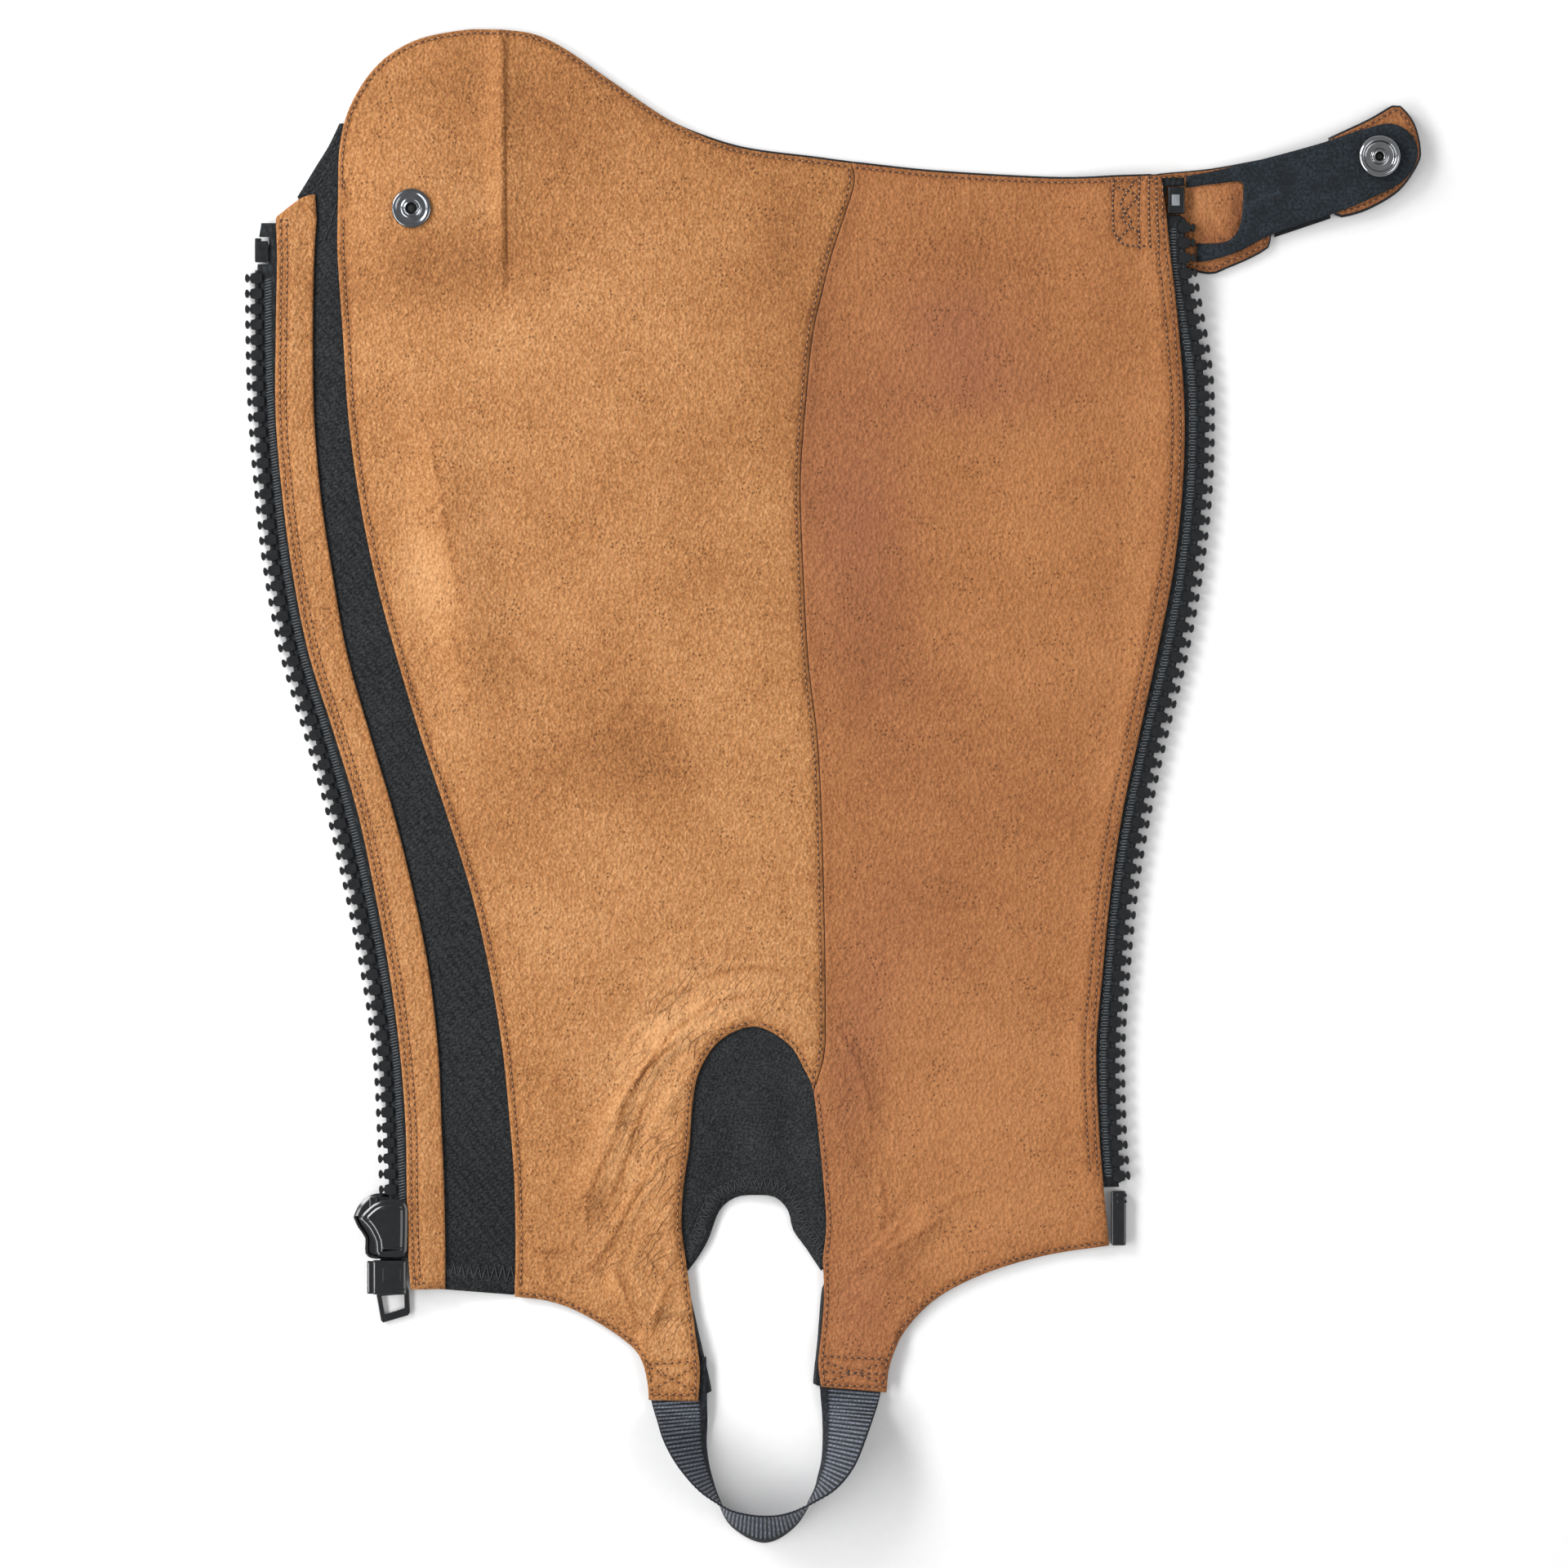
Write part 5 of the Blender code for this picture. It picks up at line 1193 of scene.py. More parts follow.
def make_panels():
    """Both panels: black outer shells and tan linings, with their stitching."""
    seam = smooth(SEAM)
    arch = smooth(ARCH)
    foot = min(range(len(arch)), key=lambda i: (arch[i] - seam[-1]).length)
    left_edge = [Vector((DOME[0][0] + SIDE_ROW, 229.0))] + side(FRONT_LEFT, PANEL_TOP, -189.5, SIDE_ROW)
    front_rows = [
        shifted(smooth(DOME)[1:-1], EDGE_ROW), left_edge, shifted(seam[1:-1], EDGE_ROW),
        shifted(arch[foot:] + smooth(TAB_LEFT_INNER)[1:-1], EDGE_ROW),
        shifted(smooth(TAB_LEFT_OUTER)[3:-1], FOOT_ROW),
    ]
    left_box = drawn(
        ((-70.0, -219.7), (-53.0, -218.6)), ((-69.2, -221.2), (-54.0, -229.4)),
        ((-69.2, -229.4), (-54.0, -221.2)), ((-69.2, -231.0), (-52.6, -231.4)),
    )
    creases = [path for *_, path in CREASE_PATHS]
    dart = smooth(DART)
    front_grooves = front_rows + left_box + [dart]
    near_front = [p for p in creases if p[0].x < -5]
    near_calf = [p for p in creases if p[0].x >= -5]
    mesh = cut_sheet("front_lining", RINGS["lining_front"], front_lining_ground, LINING_THICK, 3.0,
                     near_front, front_grooves, shade=(0.50, 0.0), fine=FINE_SPACING)
    front = piece("front_lining", mesh, [TAN], nodes=["lining_front"])
    top = LINING_THICK - GROOVE + THREAD_RISE
    sewn = sew("front_lining_stitches", front_rows, front_lining_ground, top, TAN_THREAD, HOLE_SHADE)
    boxed = sew("left_tab_stitches", left_box, front_lining_ground, top, TAN_THREAD, HOLE_SHADE)

    calf_rows = [
        shifted(smooth(CALF_TOP)[1:-1], EDGE_ROW), side(CALF_RIGHT, 228, -148, -1.6),
        side(CALF_RIGHT, 202, -146, -4.6), shifted(arch[1:foot], EDGE_ROW),
        shifted(smooth(TAB_RIGHT_INNER)[:-1], -EDGE_ROW), shifted(smooth(TAB_RIGHT_OUTER)[2:-1], -FOOT_ROW),
    ]
    right_box = drawn(
        ((-3.4, -216.6), (19.6, -217.9)), ((-2.4, -219.2), (18.4, -227.0)),
        ((-2.4, -226.2), (18.4, -219.4)), ((-3.6, -227.4), (18.8, -228.4)),
        ((-3.0, -222.6), (18.6, -223.4)),
    )
    closure_rows = [smooth(line) for line in (
        ((105.9, 229.2), (105.6, 219.0), (105.9, 210.2)),
        ((105.9, 210.2), (108.3, 205.9), (112.0, 204.5), (117.4, 204.4)),
        ((115.8, 230.2), (115.4, 217.0), (115.8, 203.8)),
        ((119.3, 230.4), (119.2, 217.0), (119.8, 204.2)),
        ((113.4, 228.6), (108.7, 220.3), (112.6, 213.4), (108.4, 207.4)),
        ((122.0, 230.0), (122.3, 217.0), (123.0, 204.0)),
        ((108.0, 226.6), (114.6, 223.0), (109.2, 215.6), (114.8, 210.0)),
    )]
    calf_grooves = calf_rows + right_box + closure_rows
    mesh = cut_sheet("calf_lining", RINGS["lining_calf"], calf_lining_ground, LINING_THICK, 3.0,
                     near_calf, calf_grooves, shade=(0.47, 0.06), fine=FINE_SPACING)
    calf = piece("calf_lining", mesh, [TAN_CALF], nodes=["lining_calf"])
    sewn = sew("calf_lining_stitches", calf_rows, calf_lining_ground, top, RUSSET_THREAD, HOLE_SHADE)
    boxed = sew("right_tab_stitches", right_box, calf_lining_ground, top, RUSSET_THREAD, HOLE_SHADE,
                hole_radius=0.5)
    closure = sew("closure_stitches", closure_rows, calf_lining_ground, top, TAN_THREAD, HOLE_SHADE, pitch=1.9,
                  share=0.5, width=0.7, hole_radius=0.58)

    for name, node, under, near, rows in (
        ("front_shell", "shell_front", creased, near_front, front_rows + left_box),
        ("calf_shell", "shell_calf", calf_ground, near_calf, calf_grooves),
    ):
        mesh = cut_sheet(name, RINGS[node], under, SHELL_THICK, 4.2, near)
        shell = piece(name, mesh, [BLACK], nodes=[node])
        sewn = sew(name + "_stitches", rows, under, UNDER_ROW, BLACK_THREAD, width=0.5)


# How much a turned hem stands up
HEM_RISE = 0.35


def make_side():
    """The stretch panel, the zip's facing and the strip behind it."""
    ring = RINGS["stretch_panel"]
    hem, top_hem, fold = drawn(
        ((-150.4, -179.6), (-136.0, -180.4), (-118.0, -181.2)),
        ((-195.6, 229.0), (-191.0, 237.5), (-187.4, 244.0)),
        ((-189.0, 221.0), (-191.0, 214.0), (-194.2, 206.0)),
    )
    turned_up = [(shifted(hem, 6.0), HEM_RISE, 6.0), (shifted(top_hem, -3.0), HEM_RISE, 4.0)]
    mesh = cut_sheet("stretch_side", ring, creased, STRETCH_THICK, 4.0, grooves=[hem, top_hem, fold],
                     steps=turned_up)
    panel = piece("stretch_side", mesh, [STRETCH], nodes=["stretch_panel"])
    zigzag = sew("stretch_hem_stitches", [shifted(hem, 4.6)], creased, STRETCH_THICK + 0.3, BLACK_THREAD,
                 pitch=1.5, swing=6.0, share=0.95, width=0.45, hole_radius=0.3)
    rows = sew("stretch_top_stitches", [top_hem, fold], creased, STRETCH_THICK + 0.1, BLACK_THREAD,
               share=0.8, width=0.4, hole_radius=0.25)

    ring = RINGS["zip_facing"]
    rows = [side(FACING_LEFT, 214, -189, 1.8), side(FACING_LEFT, 212, -186, 3.9)]
    mesh = cut_sheet("zip_facing_leather", ring, facing_ground, LINING_THICK, 3.0, grooves=rows,
                     shade=(0.52, 0.02))
    facing = piece("zip_facing_leather", mesh, [TAN], nodes=["zip_facing"])
    top = LINING_THICK - GROOVE + THREAD_RISE
    sewn = sew("zip_facing_stitches", rows, facing_ground, top, TAN_THREAD, HOLE_SHADE)
    back_stitches = drawn(
        ((-209.6, 214.6), (-207.6, 214.4), (-207.4, 212.6)),
        ((-158.6, -187.0), (-157.0, -189.4), (-155.6, -188.4)),
    )
    ends = sew("zip_facing_ends", back_stitches, facing_ground, LINING_THICK, TAN_THREAD, HOLE_SHADE,
               pitch=1.6, width=0.7, hole_radius=0.45)

    ring = RINGS["zip_outer_strip"]
    mesh = cut_sheet("zip_strip_leather", ring, creased, SHELL_THICK, 4.0)
    strip = piece("zip_strip_leather", mesh, [BLACK], nodes=["zip_outer_strip"])
    sewn = sew("zip_strip_stitches", rows, creased, UNDER_ROW, BLACK_THREAD, width=0.5)


def make_gusset():
    """The elastic arch over the instep, with its hem turned and zigzag sewn."""
    ring = RINGS["instep_gusset"]
    edge = smooth(GUSSET_EDGE)
    hem = shifted(edge[2:-2], -6.4)
    inner = shifted(edge[2:-2], -1.6)
    mesh = cut_sheet("instep_elastic", ring, gusset_ground, STRETCH_THICK, 2.8, grooves=[hem],
                     steps=[(inner, 0.45, 3.2)])
    gusset = piece("instep_elastic", mesh, [GUSSET], nodes=["instep_gusset"])
    zigzag = sew("instep_hem_stitches", [shifted(edge[2:-2], -4.4)], gusset_ground,
                 STRETCH_THICK + THREAD_RISE, BLACK_THREAD, pitch=1.3, swing=4.4, share=0.95,
                 width=0.42, hole_radius=0.25)
    row = sew("instep_edge_stitches", [hem], gusset_ground, STRETCH_THICK - 0.1, BLACK_THREAD,
              share=0.8, width=0.4, hole_radius=0.25)


def stacked(rings):
    """A closed block through rings of places, from the lowest to the highest."""
    bm = bmesh.new()
    rings = [[bm.verts.new(place) for place in ring] for ring in rings]
    for under, over in zip(rings, rings[1:]):
        for i in range(len(under)):
            j = (i + 1) % len(under)
            bm.faces.new((under[i], under[j], over[j], over[i]))
    bm.faces.new(rings[0][::-1])
    bm.faces.new(rings[-1])
    return bm


def tooth_mesh():
    """One tooth: a foot over the tape's bead, a neck with two ears and a rounded head."""
    half = (
        (-2.1, 0.0), (-2.1, 1.7), (0.3, 2.5), (0.75, 2.25), (1.2, 1.95), (1.9, 1.85), (2.25, 1.75),
        (2.4, 1.3), (2.65, 0.55), (2.85, 0.5), (3.1, 0.75), (3.7, 1.6), (4.05, 1.64), (4.4, 1.15),
        (4.57, 0.6), (TEETH_REACH, 0.0),
    )
    outline = list(half) + [(u, -v) for u, v in half[-2:0:-1]]
    middle = Vector((1.2, 0.0))
    top, shoulder = TEETH_THICK / 2, 0.95
    # Both faces are drawn in towards the middle, by this share
    drawn_in = 0.22 / 3.0
    levels = ((-top, drawn_in), (-shoulder, 0.0), (shoulder, 0.0), (top, drawn_in))
    rings = [[(*Vector(p).lerp(middle, share), height) for p in outline] for height, share in levels]
    return plain_mesh("tooth", stacked(rings), flat=True)


def leaned(curve):
    """The top of the right half of the zip, which leans back from the closure tab."""
    low, full, top, end = LEAN_RUN
    moved = []
    for p in curve:
        amount = LEAN * ease((p.y - low) / (full - low)) * (1 - ease((p.y - top) / (end - top)))
        moved.append(p - Vector((float(amount), 0)))
    return moved


def spaced(curve, pitch):
    """Points at an even pitch along a curve."""
    run = run_along(curve)
    at = np.arange(pitch / 2, run[-1], pitch)
    columns = [np.interp(at, run, [p[i] for p in curve]) for i in (0, 1)]
    return [Vector(p) for p in zip(*columns)]


def make_zip():
    """Both tapes with their beads, pale yarn ticks of painted highlight and moulded teeth."""
    tooth = bpy.data.objects.new("tooth", tooth_mesh())
    bpy.context.scene.collection.objects.link(tooth)
    middle = TAPE_LEVEL + TAPE_THICK / 2
    specs = (
        ("left", TAPE_LEFT, creased, 212.0, CHAIN_TOP_LEFT - 2, CHAIN_END_LEFT + 2, TAPE_END_LEFT,
         1, 390.0, "zip_outer_strip"),
        ("right", TAPE_RIGHT, calf_ground, 228.0, CHAIN_TOP_RIGHT - 4, CHAIN_END_RIGHT + 2, TAPE_END_RIGHT,
         -1, 385.0, "shell_calf"),
    )
    for hand, column, under, tape_top, top, bottom, end, way, length, carrier in specs:
        ring = RINGS["zip_tape_" + hand]
        edge = side(column, tape_top, end)
        mesh = cut_sheet("tape_" + hand, ring, raised(under, TAPE_LEVEL), TAPE_THICK, 3.0, rows=(0.75, 1.6))
        lean = list
        if hand == "right":
            lean = leaned
            for v in mesh.vertices:
                v.co.x = leaned([v.co.xy / MM])[0].x * MM
        run_map(mesh, edge)
        tape = piece("tape_" + hand, mesh, [TAPE], nodes=["zip_tape_" + hand])
        line = lean(side(column, top + 3, bottom - 1, 0.1 * way))
        bead = grown("tape_bead_" + hand, TREES["cords"], [on_surface(line, under, middle)],
                     Radius=CORD_RADIUS * MM, Sides=10, Yarn=TAPE)
        run_map(bead, edge)
        bead = piece("tape_bead_" + hand, bead, None)
        # The ticks are painted highlight: pale lines across the woven ribs, and on the right short dashes
        # for the chain stitches
        spots = spaced(lean(side(column, top, bottom)), TICK_PITCH)
        if hand == "left":
            ticks = [[p + Vector((2.7, -0.4)), p + Vector((5.7, 0.5))] for p in spots]
        else:
            starts = [p - Vector((2.3, 0.1 - i % 2 * 0.2)) for i, p in enumerate(spots)]
            ticks = [[start, p - Vector((5.0, 0.0))] for start, p in zip(starts, spots)]
            pairs = zip(spots[::2], spots[1::2])
            ticks += [[a - Vector((5.0, 0.1)), b - Vector((5.0, -0.1))] for a, b in pairs]
        yarn = sew("tape_yarn_" + hand, ticks, under, TAPE_LEVEL + TAPE_THICK + 0.02, TAPE_GLINT_THREAD,
                   pitch=1.6, share=0.98, width=0.36, hole_radius=0.16)
        guide = lean(side(column, top, bottom))[::way]
        teeth = grown("teeth_" + hand, TREES["teeth"], [on_surface(guide, under, middle)],
                      Pitch=TEETH_PITCH * MM, Tooth=tooth, Plastic=ACETAL)
        piece("teeth_" + hand, teeth, None, nodes=["zip_chain_" + hand])
    bpy.data.objects.remove(tooth)


def rounded(name, bm, width, segments=3, sharpness=0.5):
    """Softens every sharp edge of a moulded piece and returns it as a plain mesh."""
    bmesh.ops.remove_doubles(bm, verts=bm.verts, dist=0.0001)
    bmesh.ops.recalc_face_normals(bm, faces=bm.faces)
    sharp = [e for e in bm.edges if e.is_manifold and e.calc_face_angle(0) > sharpness]
    bmesh.ops.bevel(bm, geom=sharp, offset=width, segments=segments, profile=0.6, affect="EDGES")
    return plain_mesh(name, bm)


def extruded(ring, low, high):
    """A closed block over a ring of points, between two heights."""
    return stacked([[(x, y, z) for x, y in ring] for z in (low, high)])


def inset(ring, distance):
    """A closed ring moved inwards, with what would cross itself drawn together."""
    spin = 1 if sum(a.cross(b) for a, b in zip(ring, ring[1:] + ring[:1])) > 0 else -1
    moved = []
    for before, point, after in zip(ring[-1:] + ring[:-1], ring, ring[1:] + ring[:1]):
        a, b = (point - before).normalized(), (after - point).normalized()
        inward = Vector((-a.y - b.y, a.x + b.x)) * spin / max(1 + a.dot(b), 0.3)
        moved.append(point + inward * distance)
    room, _ = nearest(np.array([p.x for p in moved]), np.array([p.y for p in moved]), ring + ring[:1])
    kept = [i for i, clear in enumerate(room) if clear > distance * 0.9]

    def next_kept(i):
        return min(kept, key=lambda k: min(abs(k - i), len(ring) - abs(k - i)))

    return [moved[next_kept(i)] for i in range(len(ring))]


def chamfered(name, ring, low, high, width, drop):
    """A block whose top edge is cut off at a slant, which catches the light as a line."""
    ring = [Vector(p) for p in ring]
    levels = ((ring, low), (ring, high - drop), (inset(ring, width), high))
    rings = [[(p.x, p.y, z) for p in points] for points, z in levels]
    return rounded(name, stacked(rings), 0.14, 2, sharpness=0.3)


def merged(name, meshes):
    """Several closed shapes as one mesh."""
    bm = bmesh.new()
    for mesh in meshes:
        bm.from_mesh(mesh)
        bpy.data.meshes.remove(mesh)
    made = bpy.data.meshes.new(name)
    bm.to_mesh(made)
    bm.free()
    made.shade_smooth()
    return made


def box_ring(x, y, width, length):
    """The corners of an upright rectangle."""
    w, h = width / 2, length / 2
    return ((x - w, y - h), (x + w, y - h), (x + w, y + h), (x - w, y + h))


def make_slider():
    """The slider's two plates with their lips and post, and the bail that holds the pull."""
    middle = TAPE_LEVEL + TAPE_THICK / 2 + SLIDER_LIFT
    reach = TEETH_THICK / 2 + PLATE_CLEARANCE
    high, low = middle + reach, middle - reach
    upper = smooth((
        (-179.9, -164.2), (-176.4, -167.9), (-173.9, -173.0), (-172.6, -178.3), (-162.6, -178.3),
        (-161.8, -176.0), (-161.6, -160.0), (-162.6, -157.6), (-166.5, -156.6), (-172.0, -157.4),
        (-174.6, -158.7), (-177.9, -161.6), (-179.9, -164.2),
    ), 2.0)[:-1]
    lower = smooth((
        (-182.4, -163.6), (-180.6, -167.6), (-177.9, -171.6), (-176.6, -178.9), (-163.0, -179.2),
        (-162.0, -176.0), (-162.0, -159.0), (-163.6, -156.0), (-168.0, -154.9), (-173.8, -154.9),
        (-177.6, -156.4), (-180.6, -159.6), (-182.4, -163.6),
    ), 2.0)[:-1]
    parts = [
        # The upper plate, and a second step on it
        chamfered("upper", upper, high, high + SLIDER_PLATE - 0.45, 1.0, 0.5),
        chamfered("top_step", inset(upper, 1.75), high + 0.3, high + SLIDER_PLATE, 0.95, 0.46),
        chamfered("lower", lower, low - SLIDER_PLATE, low, 1.5, 0.75),
    ]
    # Lips run along the open side of both plates and keep the teeth in their channel
    for plate, base, tip in ((upper, high + 0.3, high - 1.0), (lower, low - 0.3, low + 1.0)):
        line = sorted((p for p in plate if p.x < -172.0 and p.y < -162.0), key=lambda p: -p.y)
        band = [tuple(p) for p in line + shifted(line, -1.1)[::-1]]
        parts.append(rounded("lip", extruded(band, min(base, tip), max(base, tip)), 0.25, 2))
    post = box_ring(-174.6, -158.9, 3.0, 6.0)
    parts.append(rounded("post", extruded(post, low - 0.3, high + 0.3), 0.6))
    axis_x, axis_y, _ = PULL_AXIS
    for offset in (2.8, -3.2):
        ring = box_ring(axis_x, axis_y + offset, 2.0, 1.8)
        parts.append(rounded("leg", extruded(ring, 0.3, low - SLIDER_PLATE + 0.4), 0.5))
    parts.append(rounded("bar", extruded(box_ring(axis_x, axis_y - 0.2, 2.2, 8.2), 0.05, 1.15), 0.4))
    # Two ribs stand where a slider is grooved for grip
    top = high + SLIDER_PLATE
    for y in (-160.4, -175.2):
        parts.append(rounded("rib", extruded(box_ring(-167.0, y, 7.4, 0.7), top - 0.3, top + 0.22), 0.2, 2))
    piece("slider", merged("slider", parts), [ENAMEL], nodes=["zip_slider"])


def make_box_and_stops():
    """The retaining box, the two top stops and the insertion pin."""
    tape = TAPE_LEVEL + TAPE_THICK / 2
    lifted = tape + SLIDER_LIFT
    parts = [
        chamfered("case", box_ring(-168.5, -186.4, 12.4, 12.8), lifted - 2.2, lifted + 2.2, 0.8, 0.4),
        chamfered("flange", box_ring(-175.2, -186.5, 3.6, 12.4), lifted - 1.7, lifted + 0.9, 0.8, 0.4),
        rounded("bead", extruded(box_ring(-168.3, -190.9, 11.6, 0.8), lifted + 1.9, lifted + 2.35), 0.2, 2),
        rounded("panel", extruded(box_ring(-167.6, -185.6, 6.8, 5.2), lifted + 1.9, lifted + 2.32), 0.2, 2),
    ]
    piece("retaining_box", merged("retaining_box", parts), [ENAMEL], nodes=["zip_box"])

    half = STOP_THICK / 2
    base = tape + float(creased(*STOP_LEFT))
    parts = [
        rounded("stop", extruded(box_ring(-217.5, 202.6, 5.0, 8.0), base - half, base + half), 0.5),
        rounded("nose", extruded(box_ring(-218.8, 206.4, 2.4, 2.6), base - 1.1, base + 1.1), 0.4),
    ]
    piece("top_stop_left", merged("top_stop_left", parts), [ACETAL], nodes=["zip_stop_left"])

    base = tape + float(calf_ground(*STOP_RIGHT))
    block = extruded(box_ring(*STOP_RIGHT, *STOP_RIGHT_SIZE), base - half, base + half)
    piece("top_stop_right", rounded("top_stop_right", block, 0.5), [ACETAL], nodes=["zip_stop_right"])
    # A pale grey square on the right stop's flat top is a painted reflection
    glint_patch = extruded(box_ring(129.4, 221.8, 3.0, 4.2), base + 1.3, base + 1.5)
    piece("top_stop_face", rounded("top_stop_face", glint_patch, 0.08, 2), [STOP_GLINT])

    base = tape + float(calf_ground(*PIN_PLACE))
    parts = [rounded("pin", extruded(box_ring(108.0, -164.4, 5.6, 20.8), base - half, base + half), 1.0, 4)]
    for y in (-155.6, -158.0):
        step = extruded(box_ring(109.2, y, 3.8, 1.2), base - 1.3, base + 1.6)
        parts.append(rounded("step", step, 0.3, 2))
    piece("insertion_pin", merged("insertion_pin", parts), [ENAMEL], nodes=["zip_pin"])


def make_pull():
    """The pull: a flat loop that hangs from the bail and swings about it."""
    end = PULL_LENGTH
    outer = (
        (-3.4, 0.55), (3.4, 0.55), (3.8, -7.0), (4.2, -25.0), (6.2, -30.5), (6.0, -end + 3.6),
        (5.2, -end + 2.4), (-4.4, -end + 0.2), (-5.2, -end + 0.8), (-6.4, -30.5), (-4.2, -25.0),
        (-3.8, -7.0),
    )
    windows = (
        ((-1.9, -0.6), (1.9, -0.6), (1.9, -7.2), (-1.9, -7.2)),
        ((-4.4, -31.6), (4.2, -31.6), (4.0, -end + 5.2), (-3.6, -end + 3.2)),
    )
    spots, edges = [], []
    for ring in (outer, *windows):
        start = len(spots)
        spots += [Vector(p) for p in ring]
        edges += [(start + i, start + (i + 1) % len(ring)) for i in range(len(ring))]
    found, _, faces, *_ = delaunay_2d_cdt(spots, edges, [], 1, 1e-5)
    middles = np.array([tuple(sum((found[i] for i in face), Vector((0, 0))) / 3) for face in faces])
    open_parts = [within(middles[:, 0], middles[:, 1], [Vector(p) for p in ring]) for ring in windows]
    bm = bmesh.new()
    verts = [bm.verts.new((*p, -PULL_THICK / 2)) for p in found]
    solid = [face for face, *cut in zip(faces, *open_parts) if not any(cut)]
    made = [bm.faces.new([verts[i] for i in face]) for face in solid]
    raised_part = bmesh.ops.extrude_face_region(bm, geom=made)
    top = [v for v in raised_part["geom"] if isinstance(v, bmesh.types.BMVert)]
    bmesh.ops.translate(bm, vec=(0, 0, PULL_THICK), verts=top)
    bmesh.ops.dissolve_limit(bm, angle_limit=0.02, verts=bm.verts, edges=bm.edges)
    sharp = [e for e in bm.edges if e.is_manifold and e.calc_face_angle(0) > 0.9]
    bmesh.ops.bevel(bm, geom=sharp, offset=0.32, segments=3, profile=0.6, affect="EDGES")
    turn = Matrix.Rotation(PULL_SKEW, 3, "Z") @ Matrix.Rotation(PULL_TILT, 3, "X")
    bmesh.ops.transform(bm, matrix=Matrix.Translation(PULL_AXIS) @ turn.to_4x4(), verts=bm.verts)
    piece("pull_loop", plain_mesh("pull_loop", bm), [ENAMEL], body="pull", nodes=["zip_pull"])


def turned(name, profile, middle, steps=64):
    """A round mesh from a closed list of radius and height, or from an open one that starts on the axis."""
    bm = bmesh.new()
    rings = []
    for radius, height in profile:
        if radius == 0:
            rings.append([bm.verts.new((0, 0, height))] * steps)
        else:
            rings.append([bm.verts.new((
                radius * math.cos(math.tau * i / steps), radius * math.sin(math.tau * i / steps), height))
                for i in range(steps)])
    pairs = list(zip(rings, rings[1:]))
    if profile[0][0] != 0:
        pairs.append((rings[-1], rings[0]))
    for a, b in pairs:
        for i in range(steps):
            corners = list(dict.fromkeys((a[i], a[(i + 1) % steps], b[(i + 1) % steps], b[i])))
            bm.faces.new(corners)
    bmesh.ops.translate(bm, vec=middle, verts=bm.verts)
    return plain_mesh(name, bm)


def bowed(profile, step=0.25):
    """A profile with its bends rounded."""
    points = smooth([Vector(p) for p in profile], step)
    return [(max(0.0, p.x), p.y) for p in points]


def make_snaps():
    """The stud on the front panel and the socket on the tip, each with its other side."""
    lining_top = LINING_LEVEL + LINING_THICK + GAP
    front = lining_top + STUD_HEIGHT + GAP
    flange = bowed((
        (2.05, 0.1), (2.1, 0.7), (2.35, 0.98), (2.7, 0.72), (3.1, 0.62), (3.5, 0.98), (3.9, 0.72),
        (4.8, 0.55), (5.6, 0.7), (6.2, 1.05), (6.9, 1.05), (7.35, 0.75), (7.5, 0.3), (7.4, 0.02),
    ))
    piece("stud_flange", turned("stud_flange", flange, (*SNAP_FRONT, front)), [GUNMETAL],
          nodes=["snap_stud_back"])
    # A near-black disc in each snap's centre hole is painted shade
    shade_disc = ((0.0, 0.12), (2.0, 0.12), (2.0, 0.0), (0.0, 0.0))
    piece("stud_bore", turned("stud_bore", shade_disc, (*SNAP_FRONT, front)), [BORE_SHADE])
    stud = [(0.0, STUD_HEIGHT)] + bowed((
        (4.8, STUD_HEIGHT), (5.6, 2.5), (5.8, 2.0), (4.6, 1.75), (2.6, 1.6), (1.9, 1.2),
        (2.4, 0.5), (1.9, 0.0),
    )) + [(0.0, 0.0)]
    piece("stud", turned("stud", stud, (*SNAP_FRONT, 0.0)), [NICKEL], nodes=["snap_stud"])
    tip = OVERLAY_LEVEL + OVERLAY_THICK + GAP + CAP_HEIGHT + GAP
    socket = bowed((
        (1.65, 0.1), (1.7, 1.2), (2.2, 1.42), (2.8, 1.35), (3.05, 0.7), (3.6, 0.45), (5.2, 0.45),
        (5.7, 0.9), (5.9, 1.9), (6.4, 2.28), (7.1, 2.2), (7.8, 1.6), (7.9, 0.8), (7.85, 0.02),
    ))
    piece("socket", turned("socket", socket, (*SNAP_TIP, tip)), [NICKEL], nodes=["snap_socket"])
    shade_disc = ((0.0, 0.12), (1.6, 0.12), (1.6, 0.0), (0.0, 0.0))
    piece("socket_bore", turned("socket_bore", shade_disc, (*SNAP_TIP, tip)), [BORE_SHADE])
    cap = [(0.0, CAP_HEIGHT)] + bowed((
        (6.8, CAP_HEIGHT), (7.4, 2.1), (7.5, 1.7), (6.0, 0.7), (3.5, 0.15), (1.0, 0.02),
    )) + [(0.0, 0.0)]
    piece("cap", turned("cap", cap, (*SNAP_TIP, 0.0)), [GUNMETAL], nodes=["snap_cap"])


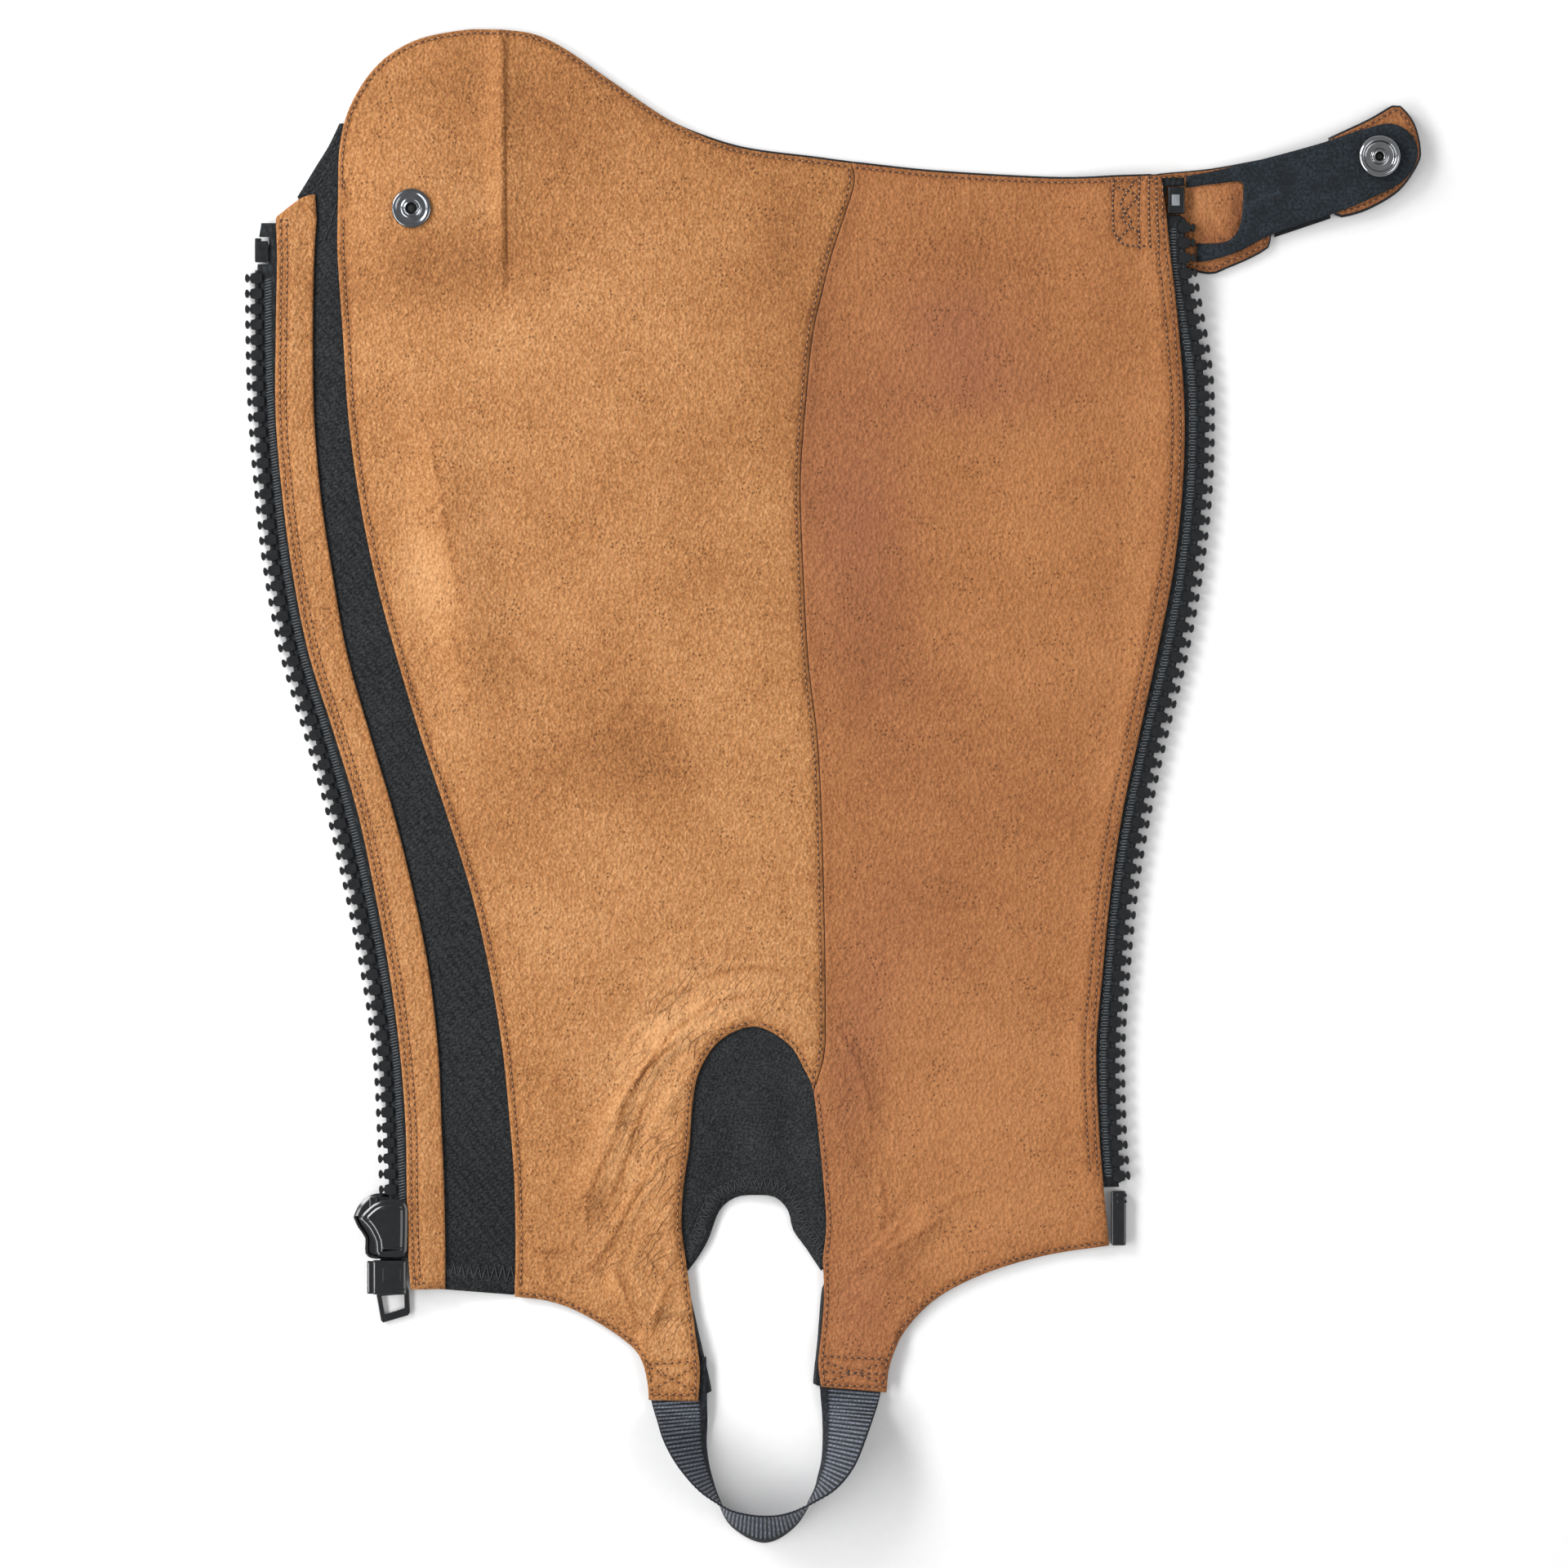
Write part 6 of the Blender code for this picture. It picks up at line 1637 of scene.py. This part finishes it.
def make_tab():
    """The closure tab: root, elastic and tip, with the long overlay on the lining side."""
    for part in ("root", "tip"):
        ring = RINGS[f"tab_{part}_shell"]
        mesh = cut_sheet(f"{part}_shell", ring, ground, SHELL_THICK, 3.2)
        shell = piece(f"{part}_shell", mesh, [BLACK], nodes=[f"tab_{part}_shell"])
        rows = [shifted(ring + ring[:1], 2.0)]
        sewn = sew(f"{part}_shell_stitches", rows, ground, UNDER_ROW, BLACK_THREAD, width=0.5)
        ring = RINGS[f"tab_{part}_lining"]
        rows = [shifted(ring + ring[:1], 1.3)]
        mesh = cut_sheet(f"{part}_lining", ring, wrinkled, LINING_THICK, 1.6, grooves=rows,
                         shade=(0.46, 0.12))
        lining = piece(f"{part}_lining", mesh, [TAN_CALF], nodes=[f"tab_{part}_lining"])
        sewn = sew(f"{part}_lining_stitches", rows, wrinkled, LINING_THICK - GROOVE + 0.1, RUSSET_THREAD,
                   HOLE_SHADE)

    corners = RINGS["tab_elastic"]
    ring = [p for a, b in zip(corners, corners[1:] + corners[:1])
            for p in (a, a.lerp(b, 0.33), a.lerp(b, 0.67))]
    mesh = cut_sheet("tab_stretch", ring, ground, ELASTIC_THICK, 2.4)
    elastic = piece("tab_stretch", mesh, [ELASTIC], nodes=["tab_elastic"])

    ring = RINGS["tab_overlay"]
    crease = smooth(((155.4, 219.0), (159.6, 221.8), (163.8, 223.8), (168.6, 224.8)))
    edge = shifted(smooth(OVERLAY_OUTER), 1.3)
    mesh = cut_sheet("tab_strap", ring, raised(ground, OVERLAY_LEVEL), OVERLAY_THICK, 2.2,
                     lines=[edge], grooves=[crease])
    # The crease beside the window and the edges are scuffed paler
    x, y = places_of(mesh)
    from_crease, _ = nearest(x, y, crease)
    from_edge, _ = nearest(x, y, ring)
    scuff = 0.55 * (1 - ease(from_crease / 1.2)) + 0.12 * (1 - ease(from_edge / 1.6))
    paint(mesh, scuff, scuff, scuff)
    strap = piece("tab_strap", mesh, [SUEDE], nodes=["tab_overlay"])


def wrinkled(x, y):
    """The lining of the closure tab, softly wrinkled in the window of its overlay."""
    x, y = np.asarray(x, float), np.asarray(y, float)
    window = 1 - ease(outside(x, y, (139, 208), (150, 224)) / 5.0)
    lines = [abs(noise.noise((a / 4.0 + b / 9.0, b / 5.5, 2.0))) for a, b in zip(np.ravel(x), np.ravel(y))]
    return ground(x, y) + LINING_LEVEL + window * (0.7 + np.array(lines).reshape(x.shape) * 1.1)


def strap_rows(step):
    """The strap's two edges in space: flat in the tabs, standing on edge, leaning at the toe."""
    rows = []
    for low_x, low_y, high_x, high_y in smooth(STRAP_SECTIONS, step):
        end = TAB_LEFT_END if low_x < -27 else TAB_RIGHT_END
        free = float(ease((end - low_y) / STRAP_RUN_OUT))
        shown = min(STRAP_WIDTH, math.dist((low_x, low_y), (high_x, high_y)))
        rise = math.sqrt(STRAP_WIDTH**2 - shown**2)
        sewn = float(ground(low_x, low_y)) + LINING_LEVEL + STRAP_THICK / 2
        foot = STRAP_THICK / 2 * shown / STRAP_WIDTH + 0.15
        base = sewn + (foot - sewn) * free
        rows.append((Vector((low_x, low_y, base)), Vector((high_x, high_y, base + rise * free))))
    return rows


def make_strap():
    """Grosgrain elastic under the boot: a thin web, cross ribs and a smooth selvedge."""
    fine = strap_rows(1.2)
    run = run_along([(a + b) / 2 for a, b in fine])
    shares = (0.0, 0.04, SELVEDGE / STRAP_WIDTH, 0.2, 0.3, 0.4, 0.5, 0.6, 0.7, 0.8, 0.88, 0.96, 1.0)
    bm = bmesh.new()
    rows = [[bm.verts.new(low.lerp(high, share)) for share in shares] for low, high in fine]
    for a, b in zip(rows, rows[1:]):
        for i in range(len(shares) - 1):
            bm.faces.new((a[i], a[i + 1], b[i + 1], b[i]))
    bm.normal_update()
    normals = [v.normal.copy() for v in bm.verts]
    bm.verts.index_update()
    faces = [[v.index for v in f.verts] for f in bm.faces]
    spots = [v.co.copy() for v in bm.verts]
    border = [(e.verts[0].index, e.verts[1].index) for e in bm.edges if e.is_boundary]
    bm.free()
    bm = bmesh.new()
    # The web is thick in its selvedge, and thin where the ribs cross it
    halves = [0.6 if i % len(shares) <= 2 else 0.3 for i in range(len(spots))]
    upper = [bm.verts.new(p + n * h) for p, n, h in zip(spots, normals, halves)]
    under = [bm.verts.new(p - n * h) for p, n, h in zip(spots, normals, halves)]
    for face in faces:
        bm.faces.new([upper[i] for i in face])
        bm.faces.new([under[i] for i in reversed(face)])
    for a, b in border:
        bm.faces.new((upper[a], upper[b], under[b], under[a]))
    web = piece("strap_web", plain_mesh("strap_web", bm), [SELVEDGE_CLOTH], nodes=["foot_strap"])
    ribs = []
    for number in range(int(run[-1] / RIB_PITCH)):
        at = (number + 0.5) * RIB_PITCH
        i = int(np.searchsorted(run, at)) - 1
        t = (at - run[i]) / (run[i + 1] - run[i])
        low, high = fine[i][0].lerp(fine[i + 1][0], t), fine[i][1].lerp(fine[i + 1][1], t)
        ribs.append([low.lerp(high, share) for share in (SELVEDGE / STRAP_WIDTH, 0.3, 0.5, 0.7, 0.985)])
    cords = grown("strap_ribs", TREES["cords"], ribs, Radius=RIB_RADIUS * MM, Sides=8, Yarn=WEBBING)
    cords = piece("strap_ribs", cords, None)


def make_stage():
    """A plain pale floor, soft studio light and a camera that looks straight down."""
    bm = bmesh.new()
    bmesh.ops.create_grid(bm, x_segments=1, y_segments=1, size=3000.0)
    bmesh.ops.translate(bm, vec=(0, 0, -0.4), verts=bm.verts)
    made, tree, shader = finish("matt_paper_white", "#f4f4f4", 0.9)
    place = add(tree, "ShaderNodeTexCoord").outputs["Object"]
    fibre = add(tree, "ShaderNodeTexNoise", {"Vector": place, "Scale": 300.0, "Detail": 2.0})
    tone = add(tree, "ShaderNodeMix", {
        0: fibre, 6: linear("#f2f2f2"), 7: linear("#f6f6f6")}, data_type="RGBA")
    tree.links.new(tone.outputs[2], shader.inputs["Base Color"])
    mesh = plain_mesh("paper_floor", bm)
    mesh.materials.append(made)
    floor = bpy.data.objects.new("paper_floor", mesh)
    bpy.context.scene.collection.objects.link(floor)

    world = bpy.data.worlds.new("studio")
    world.use_nodes = True
    world.node_tree.nodes["Background"].inputs[0].default_value = (1.0, 1.0, 1.0, 1.0)
    world.node_tree.nodes["Background"].inputs[1].default_value = 0.38
    bpy.context.scene.world = world
    for name, place, width, depth, power in (
        ("key", (-1.3, 1.0, 0.85), 0.8, 0.8, 27.0), ("fill", (1.3, -0.2, 1.1), 1.2, 1.2, 10.0),
        ("edge", (-1.2, -0.35, 0.9), 1.5, 0.4, 16.0),
    ):
        light = bpy.data.lights.new(name, "AREA")
        light.energy = power
        light.shape = "RECTANGLE"
        light.size = width
        light.size_y = depth
        lamp = bpy.data.objects.new(name, light)
        lamp.location = place
        lamp.rotation_euler = (-Vector(place)).to_track_quat("-Z", "Y").to_euler()
        bpy.context.scene.collection.objects.link(lamp)

    camera = bpy.data.cameras.new("camera")
    camera.sensor_width = 36.0
    camera.sensor_fit = "HORIZONTAL"
    # The photo's frame is 595.2 mm wide at the lining, seen from 2 m above the floor
    camera.lens = camera.sensor_width * 1997.0 / 595.2
    camera.clip_end = 20.0
    eye = bpy.data.objects.new("camera", camera)
    eye.location = (-0.01907, 0.00047, 2.0)
    bpy.context.scene.collection.objects.link(eye)
    bpy.context.scene.camera = eye
    bpy.context.scene.view_settings.view_transform = "Standard"


make_panels()
make_side()
make_gusset()
make_zip()
make_slider()
make_box_and_stops()
make_pull()
make_snaps()
make_tab()
make_strap()
make_stage()
